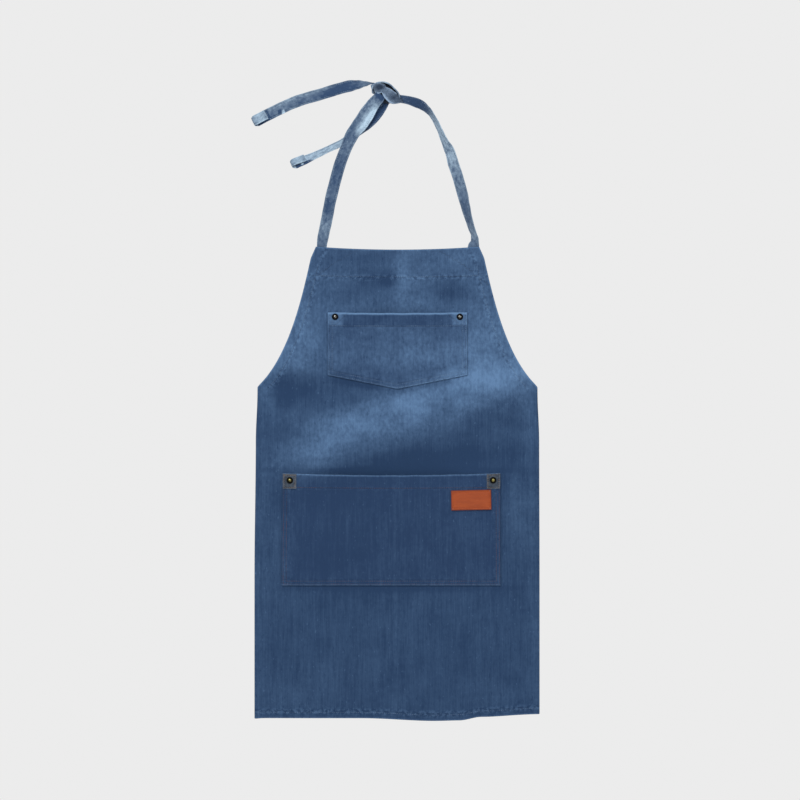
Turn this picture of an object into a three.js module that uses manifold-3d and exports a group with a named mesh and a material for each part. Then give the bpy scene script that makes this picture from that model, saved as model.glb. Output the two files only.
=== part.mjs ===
// A denim bib apron with riveted patch pockets, hanging by its tied neck straps.
// Millimetres. +X is to the right as seen from the front, +Y is to the back and +Z is up, and left and
// right in the names are as seen from the front. The origin is the inside top of the neck loop, just
// under the knot, where a hook carries the apron.

import * as THREE from "three";
import { mergeVertices } from "three/addons/utils/BufferGeometryUtils.js";
import Module from "manifold-3d";

const wasm = await Module();
wasm.setup();

// ---- Driving dimensions ----

const cloth = 1.2; // one layer of denim
const clearance = 0.3; // between two layers that lie on each other

const loopHeight = 243; // inside top of the neck loop to the bib's top edge
const bibWidth = 277;
const bibFlare = { out: 8.5, drop: 19 }; // the bib's upper corner, drawn in by its strap
const bodyWidth = 481; // between the two folded side edges
const bodyLength = 800; // bib top to hem
const armholeDrop = 237; // bib top to the side edge
const cornerRound = 3.5; // how far the armhole ends inside the side edge

const flapWidth = 92; // the side of the body that is folded behind
const flapDrop = 34; // the fall of the armhole across the flap
const flapBow = { across: 0.4, down: 0.9 }; // shares of them at the middle of the armhole's curve
const flapGap = 0.35; // between the fold and a flap's near edge

const facingHeight = 50;
const armholeHem = 16;
const bottomHem = 11;
const sideHem = 14;
const hemStep = 2; // between a flap's armhole hem and its side hem

const strapWidth = 20;
const strapThickness = 1.2; // a doubled strip of thinner denim
const strapSeam = 26; // how far a strap is sewn down behind the bib
const strapTilt = 11; // degrees, the lean of a strap at the bib
const strapRise = 8; // how far a strap runs straight above the bib

const tieWidth = 22;
const tieSeam = 25; // how far a waist tie is sewn onto its flap
const tieStep = 1; // flap edge to the tie's hanging part
const tieDrop = 6; // flap corner to its tie
const tieHemGap = 10; // tie end to the bottom hem

const knot = { x: -18, z: 19, halfWidth: 24, halfDepth: 12, halfHeight: 19 };
const tailGap = 2.5; // room for a tail to swing at the knot
const endFold = { length: 20, reach: 3, inside: 1.5 }; // a tail's end, turned back on itself

const pocketTurn = 8; // edge of a pocket that is turned under
const mouthSlope = 0.27; // share of a pocket's width over which its mouth comes forward
const chestPocket = {
  x: 0, // centre
  drop: 111.5, // bib top to pocket mouth
  width: 236,
  height: 106, // at the sides
  point: 23.5, // the middle of the bottom edge below its corners
  hem: 24,
  belly: 8, // how far the mouth stands proud in the middle
  flatRim: 24, // flat cloth along each side
};
const frontPocket = {
  x: -10,
  drop: 385,
  width: 369,
  height: 190,
  point: 0,
  hem: 25,
  belly: 10,
  flatRim: 30,
};

const patch = { width: 23, height: 26, thickness: 1 };
const label = { width: 68, height: 34, thickness: 2, edge: 15.5, drop: 28 }; // from the pocket's side and top

const rivetCap = { radius: 4.9, height: 2.6 };
const rivetShank = 1.5; // radius
const burr = { radius: 4.2, thickness: 1.4 };
const rivetInset = 12; // from a pocket's side
const chestRivetDrop = 7; // from a pocket's mouth
const frontRivetDrop = 11;

// ---- Places worked out from them ----

const bibTop = -loopHeight;
const hemZ = bibTop - bodyLength;
const cornerZ = bibTop - armholeDrop;
const sideTopZ = cornerZ - 2.5 * cornerRound; // where the straight side edge starts

// The layers behind the body panel, by the Y of their middles. The panel's own middle is Y = 0.
const panelBack = cloth / 2 + clearance;
const hemLayer = panelBack + cloth / 2;
const tieLayer = panelBack + Math.max(cloth, burr.thickness) + clearance + strapThickness / 2;
const flapHemLayer = tieLayer + strapThickness / 2 + clearance + cloth / 2;
const flapLayer = flapHemLayer + cloth + clearance;
const strapLayer = hemLayer + cloth / 2 + clearance + strapThickness / 2;
const foldRadius = flapLayer / 2;
const foldX = bodyWidth / 2 - foldRadius; // the line that a flap unfolds about
const flapStart = foldRadius + flapGap; // from the fold line to a flap's near edge

// The layers in front of it.
const turnLayer = -hemLayer;
const pocketLayer = turnLayer - cloth - clearance;
const pocketFace = pocketLayer - cloth / 2;
const patchLayer = pocketFace - clearance - patch.thickness / 2;

// ---- Solids ----

const { lerp, smoothstep } = THREE.MathUtils;

function asSolid(geometry) {
  const bare = geometry.clone();
  bare.deleteAttribute("normal");
  bare.deleteAttribute("uv");
  const merged = mergeVertices(bare, 1e-4);
  return new wasm.Manifold(
    new wasm.Mesh({
      numProp: 3,
      vertProperties: merged.attributes.position.array,
      triVerts: new Uint32Array(merged.index.array),
    }),
  );
}

// A geometry with the tools' shapes cut out of it.
function cut(geometry, ...tools) {
  let solid = asSolid(geometry);
  for (const tool of tools) solid = solid.subtract(asSolid(tool));
  const { vertProperties, triVerts } = solid.getMesh();
  const result = new THREE.BufferGeometry();
  result.setAttribute("position", new THREE.BufferAttribute(vertProperties, 3));
  result.setIndex(new THREE.BufferAttribute(triVerts, 1));
  result.computeVertexNormals();
  return result;
}

// A flat piece of cloth of the outline, given in X and Z, with its middle at Y = layer.
function plate(outline, layer, thickness = cloth) {
  return new THREE.ExtrudeGeometry(new THREE.Shape(outline), { depth: thickness, bevelEnabled: false })
    .translate(0, 0, -thickness / 2)
    .rotateX(Math.PI / 2)
    .translate(0, layer, 0);
}

// A four-sided outline in X and Z.
function rectangle(left, right, bottom, top) {
  return [
    new THREE.Vector2(left, bottom),
    new THREE.Vector2(right, bottom),
    new THREE.Vector2(right, top),
    new THREE.Vector2(left, top),
  ];
}

// Cloth that stands proud: its middle is at Y = layer(x, z), between bottom(x) and top.
function swell({ left, right, bottom, top, layer, thickness, columns, rows }) {
  const geometry = new THREE.BoxGeometry(1, 1, 1, columns, 1, rows);
  const places = geometry.getAttribute("position");
  for (let i = 0; i < places.count; i++) {
    const x = lerp(left, right, places.getX(i) + 0.5);
    const z = lerp(bottom(x), top, places.getZ(i) + 0.5);
    places.setXYZ(i, x, layer(x, z) + places.getY(i) * thickness, z);
  }
  return geometry;
}

// A route with a roll, in degrees about its own direction, at each point: [x, y, z, roll].
function route(points) {
  return {
    line: new THREE.CatmullRomCurve3(points.map(([x, y, z]) => new THREE.Vector3(x, y, z))),
    rolls: new THREE.CatmullRomCurve3(points.map((point) => new THREE.Vector3(point[3], 0, 0))),
  };
}

// The place and the three directions of a flat strap at a share u of its route.
function frameAt({ line, rolls }, u) {
  const along = line.getTangentAt(u);
  const roll = rolls.getPoint(line.getUtoTmapping(u)).x;
  const across = new THREE.Vector3(0, 1, 0).cross(along).normalize();
  across.applyAxisAngle(along, THREE.MathUtils.degToRad(roll));
  return { at: line.getPointAt(u), along, across, through: along.clone().cross(across) };
}

// A flat strap along a route.
function ribbon(way, segments) {
  const geometry = new THREE.BoxGeometry(strapWidth, strapThickness, 1, 1, 1, segments);
  const places = geometry.getAttribute("position");
  for (let i = 0; i < places.count; i++) {
    const { at, across, through } = frameAt(way, places.getZ(i) + 0.5);
    at.addScaledVector(across, places.getX(i)).addScaledVector(through, places.getY(i));
    places.setXYZ(i, at.x, at.y, at.z);
  }
  return geometry;
}

// The strip between a line of points and the same line moved by width along its normals.
function strip(points, width) {
  const inner = points.map((point, i) => {
    const before = points[Math.max(i - 1, 0)];
    const after = points[Math.min(i + 1, points.length - 1)];
    const along = after.clone().sub(before).normalize();
    return new THREE.Vector2(along.y, -along.x).multiplyScalar(width).add(point);
  });
  return { outer: points, inner };
}

// ---- The body ----

const armholeStart = new THREE.Vector2(bibWidth / 2 + bibFlare.out, bibTop - bibFlare.drop);
const armholeEnd = new THREE.Vector2(bodyWidth / 2 - cornerRound, cornerZ);

// The armhole's curve on the side of the sign, from the bib to the side edge.
function armhole(sign) {
  const span = armholeEnd.clone().sub(armholeStart);
  const at = (across, down) =>
    new THREE.Vector2(sign * (armholeStart.x + across * span.x), armholeStart.y + down * span.y);
  return new THREE.CubicBezierCurve(at(0, 0), at(0.18, 0.335), at(0.43, 0.78), at(1, 1));
}

function bodyOutline() {
  const half = bodyWidth / 2;
  const right = armhole(1).getPoints(16);
  const left = armhole(-1).getPoints(16).reverse();
  return [
    new THREE.Vector2(-bibWidth / 2, bibTop),
    new THREE.Vector2(bibWidth / 2, bibTop),
    ...right,
    new THREE.Vector2(half, sideTopZ),
    new THREE.Vector2(half, hemZ),
    new THREE.Vector2(-half, hemZ),
    new THREE.Vector2(-half, sideTopZ),
    ...left,
  ];
}

// A side of the bib from its top down the armhole.
const bibEdge = (sign) => [
  new THREE.Vector2(sign * (bibWidth / 2), bibTop),
  ...armhole(sign).getPoints(16),
];

// The band behind the bib's top edge, between the two armhole hems.
function facingOutline() {
  const low = bibTop - facingHeight;
  const side = (sign) => {
    const { inner } = strip(bibEdge(sign), sign * (armholeHem + clearance));
    const above = inner.filter((point) => point.y > low);
    above[0].y = bibTop;
    return [...above, new THREE.Vector2(above.at(-1).x, low)];
  };
  return [...side(1), ...side(-1).reverse()];
}

// The turned edge along an armhole, from the bib's top to where the side edge cuts it off.
function armholeHemOutline(sign) {
  const { outer, inner } = strip(bibEdge(sign), sign * armholeHem);
  inner[0].y = bibTop;
  const half = sign * (bodyWidth / 2 - clearance);
  const slope = (outer.at(-1).y - outer.at(-2).y) / (outer.at(-1).x - outer.at(-2).x);
  const cutOff = new THREE.Vector2(half, inner.at(-1).y + slope * (half - inner.at(-1).x));
  return [...outer, new THREE.Vector2(half, sideTopZ), cutOff, ...inner.reverse()];
}

// ---- The flaps ----

const flapEdgeX = foldX - flapWidth; // a flap's free edge, behind the body
const flapCornerZ = sideTopZ - flapDrop;
const tieTop = flapCornerZ - tieDrop;

function flapTop(sign) {
  const near = foldX - flapStart;
  return new THREE.QuadraticBezierCurve(
    new THREE.Vector2(sign * near, sideTopZ),
    new THREE.Vector2(sign * (near - flapBow.across * flapWidth), sideTopZ - flapBow.down * flapDrop),
    new THREE.Vector2(sign * flapEdgeX, flapCornerZ),
  ).getPoints(8);
}

function flapOutline(sign) {
  return [
    ...flapTop(sign),
    new THREE.Vector2(sign * flapEdgeX, hemZ),
    new THREE.Vector2(sign * (foldX - flapStart), hemZ),
  ];
}

function flapArmholeHemOutline(sign) {
  const { outer, inner } = strip(flapTop(sign), -sign * armholeHem);
  inner[0].x = outer[0].x;
  inner.at(-1).x = outer.at(-1).x;
  return [...outer, ...inner.reverse()];
}

function flapSideHemOutline(sign) {
  const top = flapCornerZ - armholeHem - hemStep;
  return rectangle(flapEdgeX, flapEdgeX + sideHem, hemZ + bottomHem + clearance, top).map((point) =>
    point.multiply(new THREE.Vector2(sign, 1)),
  );
}

// A waist tie leaves its flap sideways and is folded on the slant to hang straight down.
const tieOuterX = flapEdgeX - tieStep;
const tieEndZ = hemZ + bottomHem + tieHemGap;

function tieTabOutline(sign) {
  const seamX = flapEdgeX + tieSeam;
  const innerX = tieOuterX - tieWidth;
  return [
    new THREE.Vector2(sign * seamX, tieTop),
    new THREE.Vector2(sign * tieOuterX, tieTop),
    new THREE.Vector2(sign * innerX, tieTop - tieWidth),
    new THREE.Vector2(sign * seamX, tieTop - tieWidth),
  ];
}

function tieOutline(sign) {
  const top = tieTop - tieWidth - clearance - strapThickness / 2; // room to swing
  return rectangle(sign * tieOuterX, sign * (tieOuterX - tieWidth), tieEndZ, top);
}

// ---- Straps and knot ----

const strapBaseX = bibWidth / 2 - strapWidth / 2; // a strap's outer edge is level with the bib's corner
const hingeGap = 1.2; // each side of the line that the apron swings about

// A route from behind the bib up into the knot. The points below the knot are shares of the strap's
// foot: its distance from the middle and the loop's height.
function strapRoute(sign, shares, ...above) {
  const foot = [-strapWidth / 2, strapRise].map((rise) => [sign * strapBaseX, strapLayer, bibTop + rise, 0]);
  const middle = shares.map(([x, y, z, roll]) => [sign * x * strapBaseX, y, -z * loopHeight, roll]);
  return route([...foot, ...middle, ...above]);
}

const leftRoute = strapRoute(
  -1,
  [
    [0.933, 1.4, 0.8, 0],
    [0.886, 0.6, 0.672, 0],
    [0.827, 0, 0.546, 4],
    [0.761, 0, 0.42, 8],
    [0.685, 0, 0.315, 8],
    [0.598, 0, 0.21, 4],
    [0.472, 0, 0.126, 0],
    [0.377, 0, 0.042, 0],
  ],
  [-34, 0, 10, 0],
  [-22, 0, 18, 0],
);

const rightRoute = strapRoute(
  1,
  [
    [0.99, 2.2, 0.88, -52],
    [0.94, 1, 0.8, -54],
    [0.9, 0, 0.714, -42],
    [0.86, 0, 0.63, -28],
    [0.794, -1, 0.504, -22],
    [0.695, -1, 0.336, -34],
    [0.615, -1, 0.252, -54],
    [0.549, 0, 0.168, -64],
    [0.463, 0, 0.084, -64],
  ],
  [50.6, 0, -9.4, -56],
  [41, 0, -1.8, -46],
  [31, 0, 2.5, -40],
  [19, 0, 6.3, -38],
  [-12, 0, 13, -30],
);

const upperTailRoute = route([
  [-24, 0, 26, 0],
  [-44, 1, 34.5, 0],
  [-68, 2, 32.6, 6],
  [-89, 2, 29, 8],
  [-129, 1, 16.8, 6],
  [-172, 0, 3.8, 0],
  [-216, 0, -15.8, 0],
  [-240, 0, -28.9, 0],
]);

// The lower tail passes behind the left strap, so its near edge stays behind that strap's back face.
const tailStandOff = 4;
const lowerTailRoute = route(
  [
    [-18, 12, 0],
    [-26, -4, 10],
    [-36.5, -19, 20],
    [-49, -32, 24],
    [-66, -45, 28],
    [-94.4, -64.6, 38],
    [-122, -77.6, 42],
    [-149, -90.5, 34],
    [-175, -101.5, 24],
  ].map(([x, z, roll]) => {
    const reach = (strapWidth / 2) * Math.sin(THREE.MathUtils.degToRad(roll));
    return [x, reach + strapThickness + tailStandOff, z, roll];
  }),
);

function knotShape(margin = 0) {
  return new THREE.SphereGeometry(1, 24, 14)
    .scale(knot.halfWidth + margin, knot.halfDepth + margin, knot.halfHeight + margin)
    .translate(knot.x, 0, knot.z);
}

// A strap that goes into the knot, cut off where it meets it and level with the bib's top.
function knotted(way, segments, gap) {
  const below = new THREE.BoxGeometry(2 * bibWidth, 100, loopHeight);
  below.translate(0, 0, bibTop + hingeGap - loopHeight / 2);
  return cut(ribbon(way, segments), knotShape(gap), below);
}

// The end of a tail, turned back over its own front face.
function tailEndFold(way) {
  const { at, along, across } = frameAt(way, 1);
  const inner = endFold.inside;
  const outer = inner + strapThickness;
  const middle = strapThickness / 2 + inner;
  const shape = new THREE.Shape();
  shape.moveTo(clearance, -strapThickness / 2);
  shape.lineTo(endFold.reach, -strapThickness / 2);
  shape.absarc(endFold.reach, middle, outer, -Math.PI / 2, Math.PI / 2, false);
  shape.lineTo(-endFold.length, middle + outer);
  shape.lineTo(-endFold.length, middle + inner);
  shape.lineTo(endFold.reach, middle + inner);
  shape.absarc(endFold.reach, middle, inner, Math.PI / 2, -Math.PI / 2, true);
  shape.lineTo(clearance, strapThickness / 2);
  const front = along.clone().cross(across);
  if (front.y > 0) front.negate();
  const place = new THREE.Matrix4().makeBasis(along, front, along.clone().cross(front)).setPosition(at);
  return new THREE.ExtrudeGeometry(shape, { depth: strapWidth, bevelEnabled: false, curveSegments: 8 })
    .translate(0, 0, -strapWidth / 2)
    .applyMatrix4(place);
}

// A strap's foot, sewn down behind the bib.
function strapFootOutline(sign) {
  const lean = Math.tan(THREE.MathUtils.degToRad(strapTilt)) * strapSeam * sign;
  const top = bibTop - hingeGap;
  const half = strapWidth / 2;
  const x = sign * strapBaseX;
  return [
    new THREE.Vector2(x - half, top),
    new THREE.Vector2(x + half, top),
    new THREE.Vector2(x + half - lean / 2, top - strapSeam),
    new THREE.Vector2(x - half - lean / 2, top - strapSeam),
  ];
}

// ---- Pockets ----

const mouth = (pocket) => bibTop - pocket.drop;

// The bottom edge, which runs down to a point in the middle.
function pocketBottom(pocket, x) {
  const share = 1 - Math.abs(x - pocket.x) / (pocket.width / 2);
  return mouth(pocket) - pocket.height - pocket.point * share;
}

// How far the pocket stands proud of the body at a place.
function belly(pocket, x, z) {
  const fromSide = pocket.width / 2 - Math.abs(x - pocket.x);
  const across = smoothstep(fromSide, pocket.flatRim, pocket.flatRim + mouthSlope * pocket.width);
  const up = smoothstep(z, pocketBottom(pocket, x) + pocketTurn, mouth(pocket));
  return pocket.belly * across * up;
}

function pocketPanel(pocket) {
  return swell({
    left: pocket.x - pocket.width / 2,
    right: pocket.x + pocket.width / 2,
    bottom: (x) => pocketBottom(pocket, x),
    top: mouth(pocket),
    layer: (x, z) => pocketLayer - belly(pocket, x, z),
    thickness: cloth,
    columns: 20,
    rows: 8,
  });
}

// The hem along a pocket's mouth, folded to the inside.
function pocketHem(pocket) {
  const half = pocket.width / 2 - pocketTurn - clearance;
  return swell({
    left: pocket.x - half,
    right: pocket.x + half,
    bottom: () => mouth(pocket) - pocket.hem,
    top: mouth(pocket),
    layer: (x, z) => turnLayer - belly(pocket, x, z),
    thickness: cloth,
    columns: 20,
    rows: 1,
  });
}

// The edge that is turned under along a pocket's sides and bottom.
function pocketTurnOutline(pocket) {
  const half = pocket.width / 2;
  const rise = pocketTurn / Math.cos(Math.atan2(pocket.point, half));
  const at = (x, z) => new THREE.Vector2(pocket.x + x, z);
  const low = (x, up) => at(x, pocketBottom(pocket, pocket.x + x) + up);
  const top = mouth(pocket);
  return [
    at(-half, top),
    low(-half, 0),
    low(0, 0),
    low(half, 0),
    at(half, top),
    at(half - pocketTurn, top),
    low(half - pocketTurn, rise),
    low(0, rise),
    low(pocketTurn - half, rise),
    at(pocketTurn - half, top),
  ];
}

const patchX = (sign) => frontPocket.x + sign * (frontPocket.width / 2 - patch.width / 2);

function patchOutline(sign) {
  const half = patch.width / 2;
  const top = mouth(frontPocket);
  return rectangle(patchX(sign) - half, patchX(sign) + half, top - patch.height, top);
}

function labelPlate() {
  const right = frontPocket.x + frontPocket.width / 2 - label.edge;
  const top = mouth(frontPocket) - label.drop;
  const gap = clearance + label.thickness / 2;
  return swell({
    left: right - label.width,
    right,
    bottom: () => top - label.height,
    top,
    layer: (x, z) => pocketFace - belly(frontPocket, x, z) - gap,
    thickness: label.thickness,
    columns: 8,
    rows: 4,
  });
}

// ---- Rivets ----

// Each rivet's place, and the face that its cap sits on.
const rivets = [];
for (const [side, sign] of [["left", -1], ["right", 1]]) {
  for (const [name, pocket, drop, face] of [
    ["chest", chestPocket, chestRivetDrop, pocketFace],
    ["front", frontPocket, frontRivetDrop, patchLayer - patch.thickness / 2],
  ]) {
    rivets.push({
      name: `${name}_${side}`,
      pocket,
      x: pocket.x + sign * (pocket.width / 2 - rivetInset),
      z: mouth(pocket) - drop,
      capY: face - clearance,
    });
  }
}

// The cloth is drilled to this radius for the shanks.
const drills = (pocket) =>
  rivets
    .filter((rivet) => !pocket || rivet.pocket === pocket)
    .map((rivet) =>
      new THREE.CylinderGeometry(rivetShank + clearance, rivetShank + clearance, 40, 12).translate(
        rivet.x,
        0,
        rivet.z,
      ),
    );

// A domed cap with its shank, which runs back through the cloth into the burr.
function rivetShape({ x, z, capY }) {
  const profile = [];
  for (let step = 0; step <= 4; step++) {
    const angle = (step / 4) * (Math.PI / 2);
    profile.push(
      new THREE.Vector2(rivetCap.radius * Math.sin(angle), capY - rivetCap.height * Math.cos(angle)),
    );
  }
  const tip = panelBack + burr.thickness;
  profile.push(new THREE.Vector2(rivetShank, capY), new THREE.Vector2(rivetShank, tip));
  profile.push(new THREE.Vector2(0, tip));
  return new THREE.LatheGeometry(profile, 16).translate(x, 0, z);
}

function burrShape({ x, z }) {
  const hole = rivetShank + clearance;
  const back = panelBack + burr.thickness;
  const profile = [
    new THREE.Vector2(hole, panelBack),
    new THREE.Vector2(burr.radius, panelBack),
    new THREE.Vector2(burr.radius, back),
    new THREE.Vector2(hole, back),
    new THREE.Vector2(hole, panelBack),
  ];
  return new THREE.LatheGeometry(profile, 16).translate(x, 0, z);
}

// ---- Assembly ----

const finish = (color, roughness, metalness = 0) =>
  new THREE.MeshStandardMaterial({ color, roughness, metalness });

const group = new THREE.Group();

function add(name, geometry, material) {
  const mesh = new THREE.Mesh(geometry, material);
  mesh.name = name;
  group.add(mesh);
}

const denim = () => finish(0x33557f, 0.95);
const strapDenim = () => finish(0x5b7ba3, 0.92);

add("body_panel", cut(plate(bodyOutline(), 0), ...drills()), denim());
add("bib_facing", plate(facingOutline(), hemLayer), denim());
const hemHalf = bodyWidth / 2 - clearance;
add("bottom_hem", plate(rectangle(-hemHalf, hemHalf, hemZ, hemZ + bottomHem), hemLayer), denim());

for (const [side, sign] of [["left", -1], ["right", 1]]) {
  add(`armhole_hem_${side}`, plate(armholeHemOutline(sign), hemLayer), denim());
  add(`side_flap_${side}`, plate(flapOutline(sign), flapLayer), denim());
  add(`flap_armhole_hem_${side}`, plate(flapArmholeHemOutline(sign), flapHemLayer), denim());
  add(`flap_side_hem_${side}`, plate(flapSideHemOutline(sign), flapHemLayer), denim());
  const flapHem = rectangle(sign * flapEdgeX, sign * (foldX - flapStart), hemZ, hemZ + bottomHem);
  add(`flap_bottom_hem_${side}`, plate(flapHem, flapHemLayer), denim());
  add(`waist_tie_tab_${side}`, plate(tieTabOutline(sign), tieLayer, strapThickness), strapDenim());
  add(`waist_tie_${side}`, plate(tieOutline(sign), tieLayer, strapThickness), strapDenim());
  add(`strap_foot_${side}`, plate(strapFootOutline(sign), strapLayer, strapThickness), strapDenim());
}

add("neck_strap_left", knotted(leftRoute, 20, clearance), strapDenim());
add("neck_strap_right", knotted(rightRoute, 26, clearance), strapDenim());
add("neck_knot", knotShape(), strapDenim());
for (const [place, way] of [["upper", upperTailRoute], ["lower", lowerTailRoute]]) {
  add(`strap_tail_${place}`, knotted(way, 18, tailGap), strapDenim());
  add(`tail_end_fold_${place}`, tailEndFold(way), strapDenim());
}

for (const [name, pocket] of [["chest_pocket", chestPocket], ["front_pocket", frontPocket]]) {
  add(name, cut(pocketPanel(pocket), ...drills(pocket)), denim());
  add(`${name}_hem`, cut(pocketHem(pocket), ...drills(pocket)), denim());
  add(`${name}_turned_edge`, plate(pocketTurnOutline(pocket), turnLayer), denim());
}

const patchCloth = () => finish(0x5a5046, 0.9);
for (const [side, sign] of [["left", -1], ["right", 1]]) {
  const shape = cut(plate(patchOutline(sign), patchLayer, patch.thickness), ...drills(frontPocket));
  add(`corner_patch_${side}`, shape, patchCloth());
}
add("leather_label", labelPlate(), finish(0xaa5332, 0.55));

for (const rivet of rivets) {
  const metal = rivet.pocket === chestPocket ? finish(0x8d8f94, 0.3, 1) : finish(0x8a7a55, 0.35, 1);
  add(`rivet_${rivet.name}`, rivetShape(rivet), metal);
  add(`burr_${rivet.name}`, burrShape(rivet), metal.clone());
}

export default group;
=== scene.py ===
"""A washed denim bib apron that hangs by its tied neck straps.

Lengths are in millimetres until a mesh is finished, which is then in metres. +X is to the right as
seen from the front, +Y is to the back and +Z is up, from the inside top of the neck loop.
"""

import logging
import math
from bisect import bisect_right
from dataclasses import dataclass, field
from enum import Enum
from typing import Callable, Iterable, Iterator, Sequence

import bmesh
import bpy
from mathutils import Matrix, Vector, noise


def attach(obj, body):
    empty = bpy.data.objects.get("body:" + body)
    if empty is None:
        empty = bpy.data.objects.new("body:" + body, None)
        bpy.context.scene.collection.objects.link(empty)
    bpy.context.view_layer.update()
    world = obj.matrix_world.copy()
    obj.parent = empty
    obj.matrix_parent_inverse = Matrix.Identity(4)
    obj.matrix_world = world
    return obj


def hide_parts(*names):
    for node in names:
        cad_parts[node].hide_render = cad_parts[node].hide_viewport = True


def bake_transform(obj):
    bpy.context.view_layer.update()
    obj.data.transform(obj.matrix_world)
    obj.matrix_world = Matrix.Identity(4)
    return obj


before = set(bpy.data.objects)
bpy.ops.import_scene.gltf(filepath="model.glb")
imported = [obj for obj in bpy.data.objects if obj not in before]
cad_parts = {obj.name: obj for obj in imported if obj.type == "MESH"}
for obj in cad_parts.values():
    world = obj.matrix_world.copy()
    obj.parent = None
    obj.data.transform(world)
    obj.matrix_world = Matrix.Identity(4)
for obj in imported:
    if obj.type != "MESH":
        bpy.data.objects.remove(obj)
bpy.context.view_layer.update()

LOG = logging.getLogger("apron")
MM = 0.001
WEAVE_MAP = "Weave"  # the UV map that the cloth's patterns follow, in metres
SIDES = {-1: "left", 1: "right"}  # by the sign of X
CLOTH = 1.2  # the denim's thickness
TURN = 0.75  # the radius of a turned edge
CODE_GAP = 0.01  # between the numbers that stand for a turned edge's lines in a grid
FAR = 50.0  # a distance at which an edge or a seam has no effect


# ---- Sums ----


def smoothstep(value: float, low: float, high: float) -> float:
    """A smooth rise from 0 at low to 1 at high."""
    share = min(max((value - low) / (high - low), 0.0), 1.0)
    return share * share * (3 - 2 * share)


def lerp(start: float, end: float, share: float) -> float:
    """The value that lies at a share of the way from start to end."""
    return start + (end - start) * share


def level(points: Sequence[tuple[float, float]], value: float) -> float:
    """Read a line of (value, height) points smoothly.

    Args:
        points: The points, in rising order of their value.
        value: Where to read.

    Returns:
        The height there, held level past either end.
    """
    if value <= points[0][0]:
        return points[0][1]
    for (low, before), (high, after) in zip(points, points[1:]):
        if value <= high:
            return lerp(before, after, smoothstep(value, low, high))
    return points[-1][1]


def spaced(start: float, end: float, step: float) -> list[float]:
    """Even values from start to end, about a step apart.

    Args:
        start: The first value.
        end: The last value.
        step: The longest step.

    Returns:
        The values, both ends among them.
    """
    count = max(1, math.ceil(abs(end - start) / step))
    return [lerp(start, end, i / count) for i in range(count + 1)]


def ripple(x: float, y: float, z: float, size: float) -> float:
    """Smooth noise from about -1 to 1, with bumps of about the size, at a place in millimetres."""
    return noise.noise(Vector((x, y, z)) / size)


class Spline:
    """A smooth line through points, with a roll at each point."""

    def __init__(self, points: Sequence[tuple[float, ...]]) -> None:
        """Lay the line.

        Args:
            points: (x, y, z, roll in degrees) of each point.
        """
        self.points = [Vector(point[:3]) for point in points]
        self.rolls = [point[3] for point in points]
        ends = (2 * self.points[0] - self.points[1], 2 * self.points[-1] - self.points[-2])
        self.knots = [ends[0], *self.points, ends[1]]
        shares = [i / 400 * (len(points) - 1) for i in range(401)]
        places = [self.place(share) for share in shares]
        run = 0.0
        self.runs = [0.0]
        for before, after in zip(places, places[1:]):
            run += (after - before).length
            self.runs.append(run)
        self.shares = shares
        self.length = run
        self.found: dict[float, tuple[Vector, Vector, Vector, Vector]] = {}

    def place(self, share: float) -> Vector:
        """Find the place at a share counted in points.

        Args:
            share: 0 at the first point, 1 at the second, and so on.

        Returns:
            The place on the centripetal spline.
        """
        i = min(int(share), len(self.points) - 2)
        p0, p1, p2, p3 = self.knots[i : i + 4]
        t1 = math.sqrt((p1 - p0).length)
        t2 = t1 + math.sqrt((p2 - p1).length)
        t3 = t2 + math.sqrt((p3 - p2).length)
        t = lerp(t1, t2, share - i)
        a1 = p0.lerp(p1, t / t1)
        a2 = p1.lerp(p2, (t - t1) / (t2 - t1))
        a3 = p2.lerp(p3, (t - t2) / (t3 - t2))
        b1 = a1.lerp(a2, t / t2)
        b2 = a2.lerp(a3, (t - t1) / (t3 - t1))
        return b1.lerp(b2, (t - t1) / (t2 - t1))

    def frame(self, run: float) -> tuple[Vector, Vector, Vector, Vector]:
        """Find the directions of a flat strap along the line.

        Args:
            run: The length along the line.

        Returns:
            The place, and the directions along, across and through the strap.
        """
        if run not in self.found:
            self.found[run] = self._find(run)
        return self.found[run]

    def _find(self, run: float) -> tuple[Vector, Vector, Vector, Vector]:
        """Work out the place and directions at a length along the line."""
        i = min(max(bisect_right(self.runs, run) - 1, 0), len(self.runs) - 2)
        gap = self.runs[i + 1] - self.runs[i]
        share = lerp(self.shares[i], self.shares[i + 1], (run - self.runs[i]) / gap)
        share = min(max(share, 0.0), len(self.points) - 1.0)
        step = 0.02
        ahead = self.place(min(share + step, len(self.points) - 1.0))
        behind = self.place(max(share - step, 0.0))
        along = (ahead - behind).normalized()
        point = min(int(share), len(self.rolls) - 2)
        roll = lerp(self.rolls[point], self.rolls[point + 1], smoothstep(share - point, 0, 1))
        across = Vector((0, 1, 0)).cross(along).normalized()
        across = Matrix.Rotation(math.radians(roll), 3, along) @ across
        return self.place(share), along, across, along.cross(across)


# ---- Shader node groups ----


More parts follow.
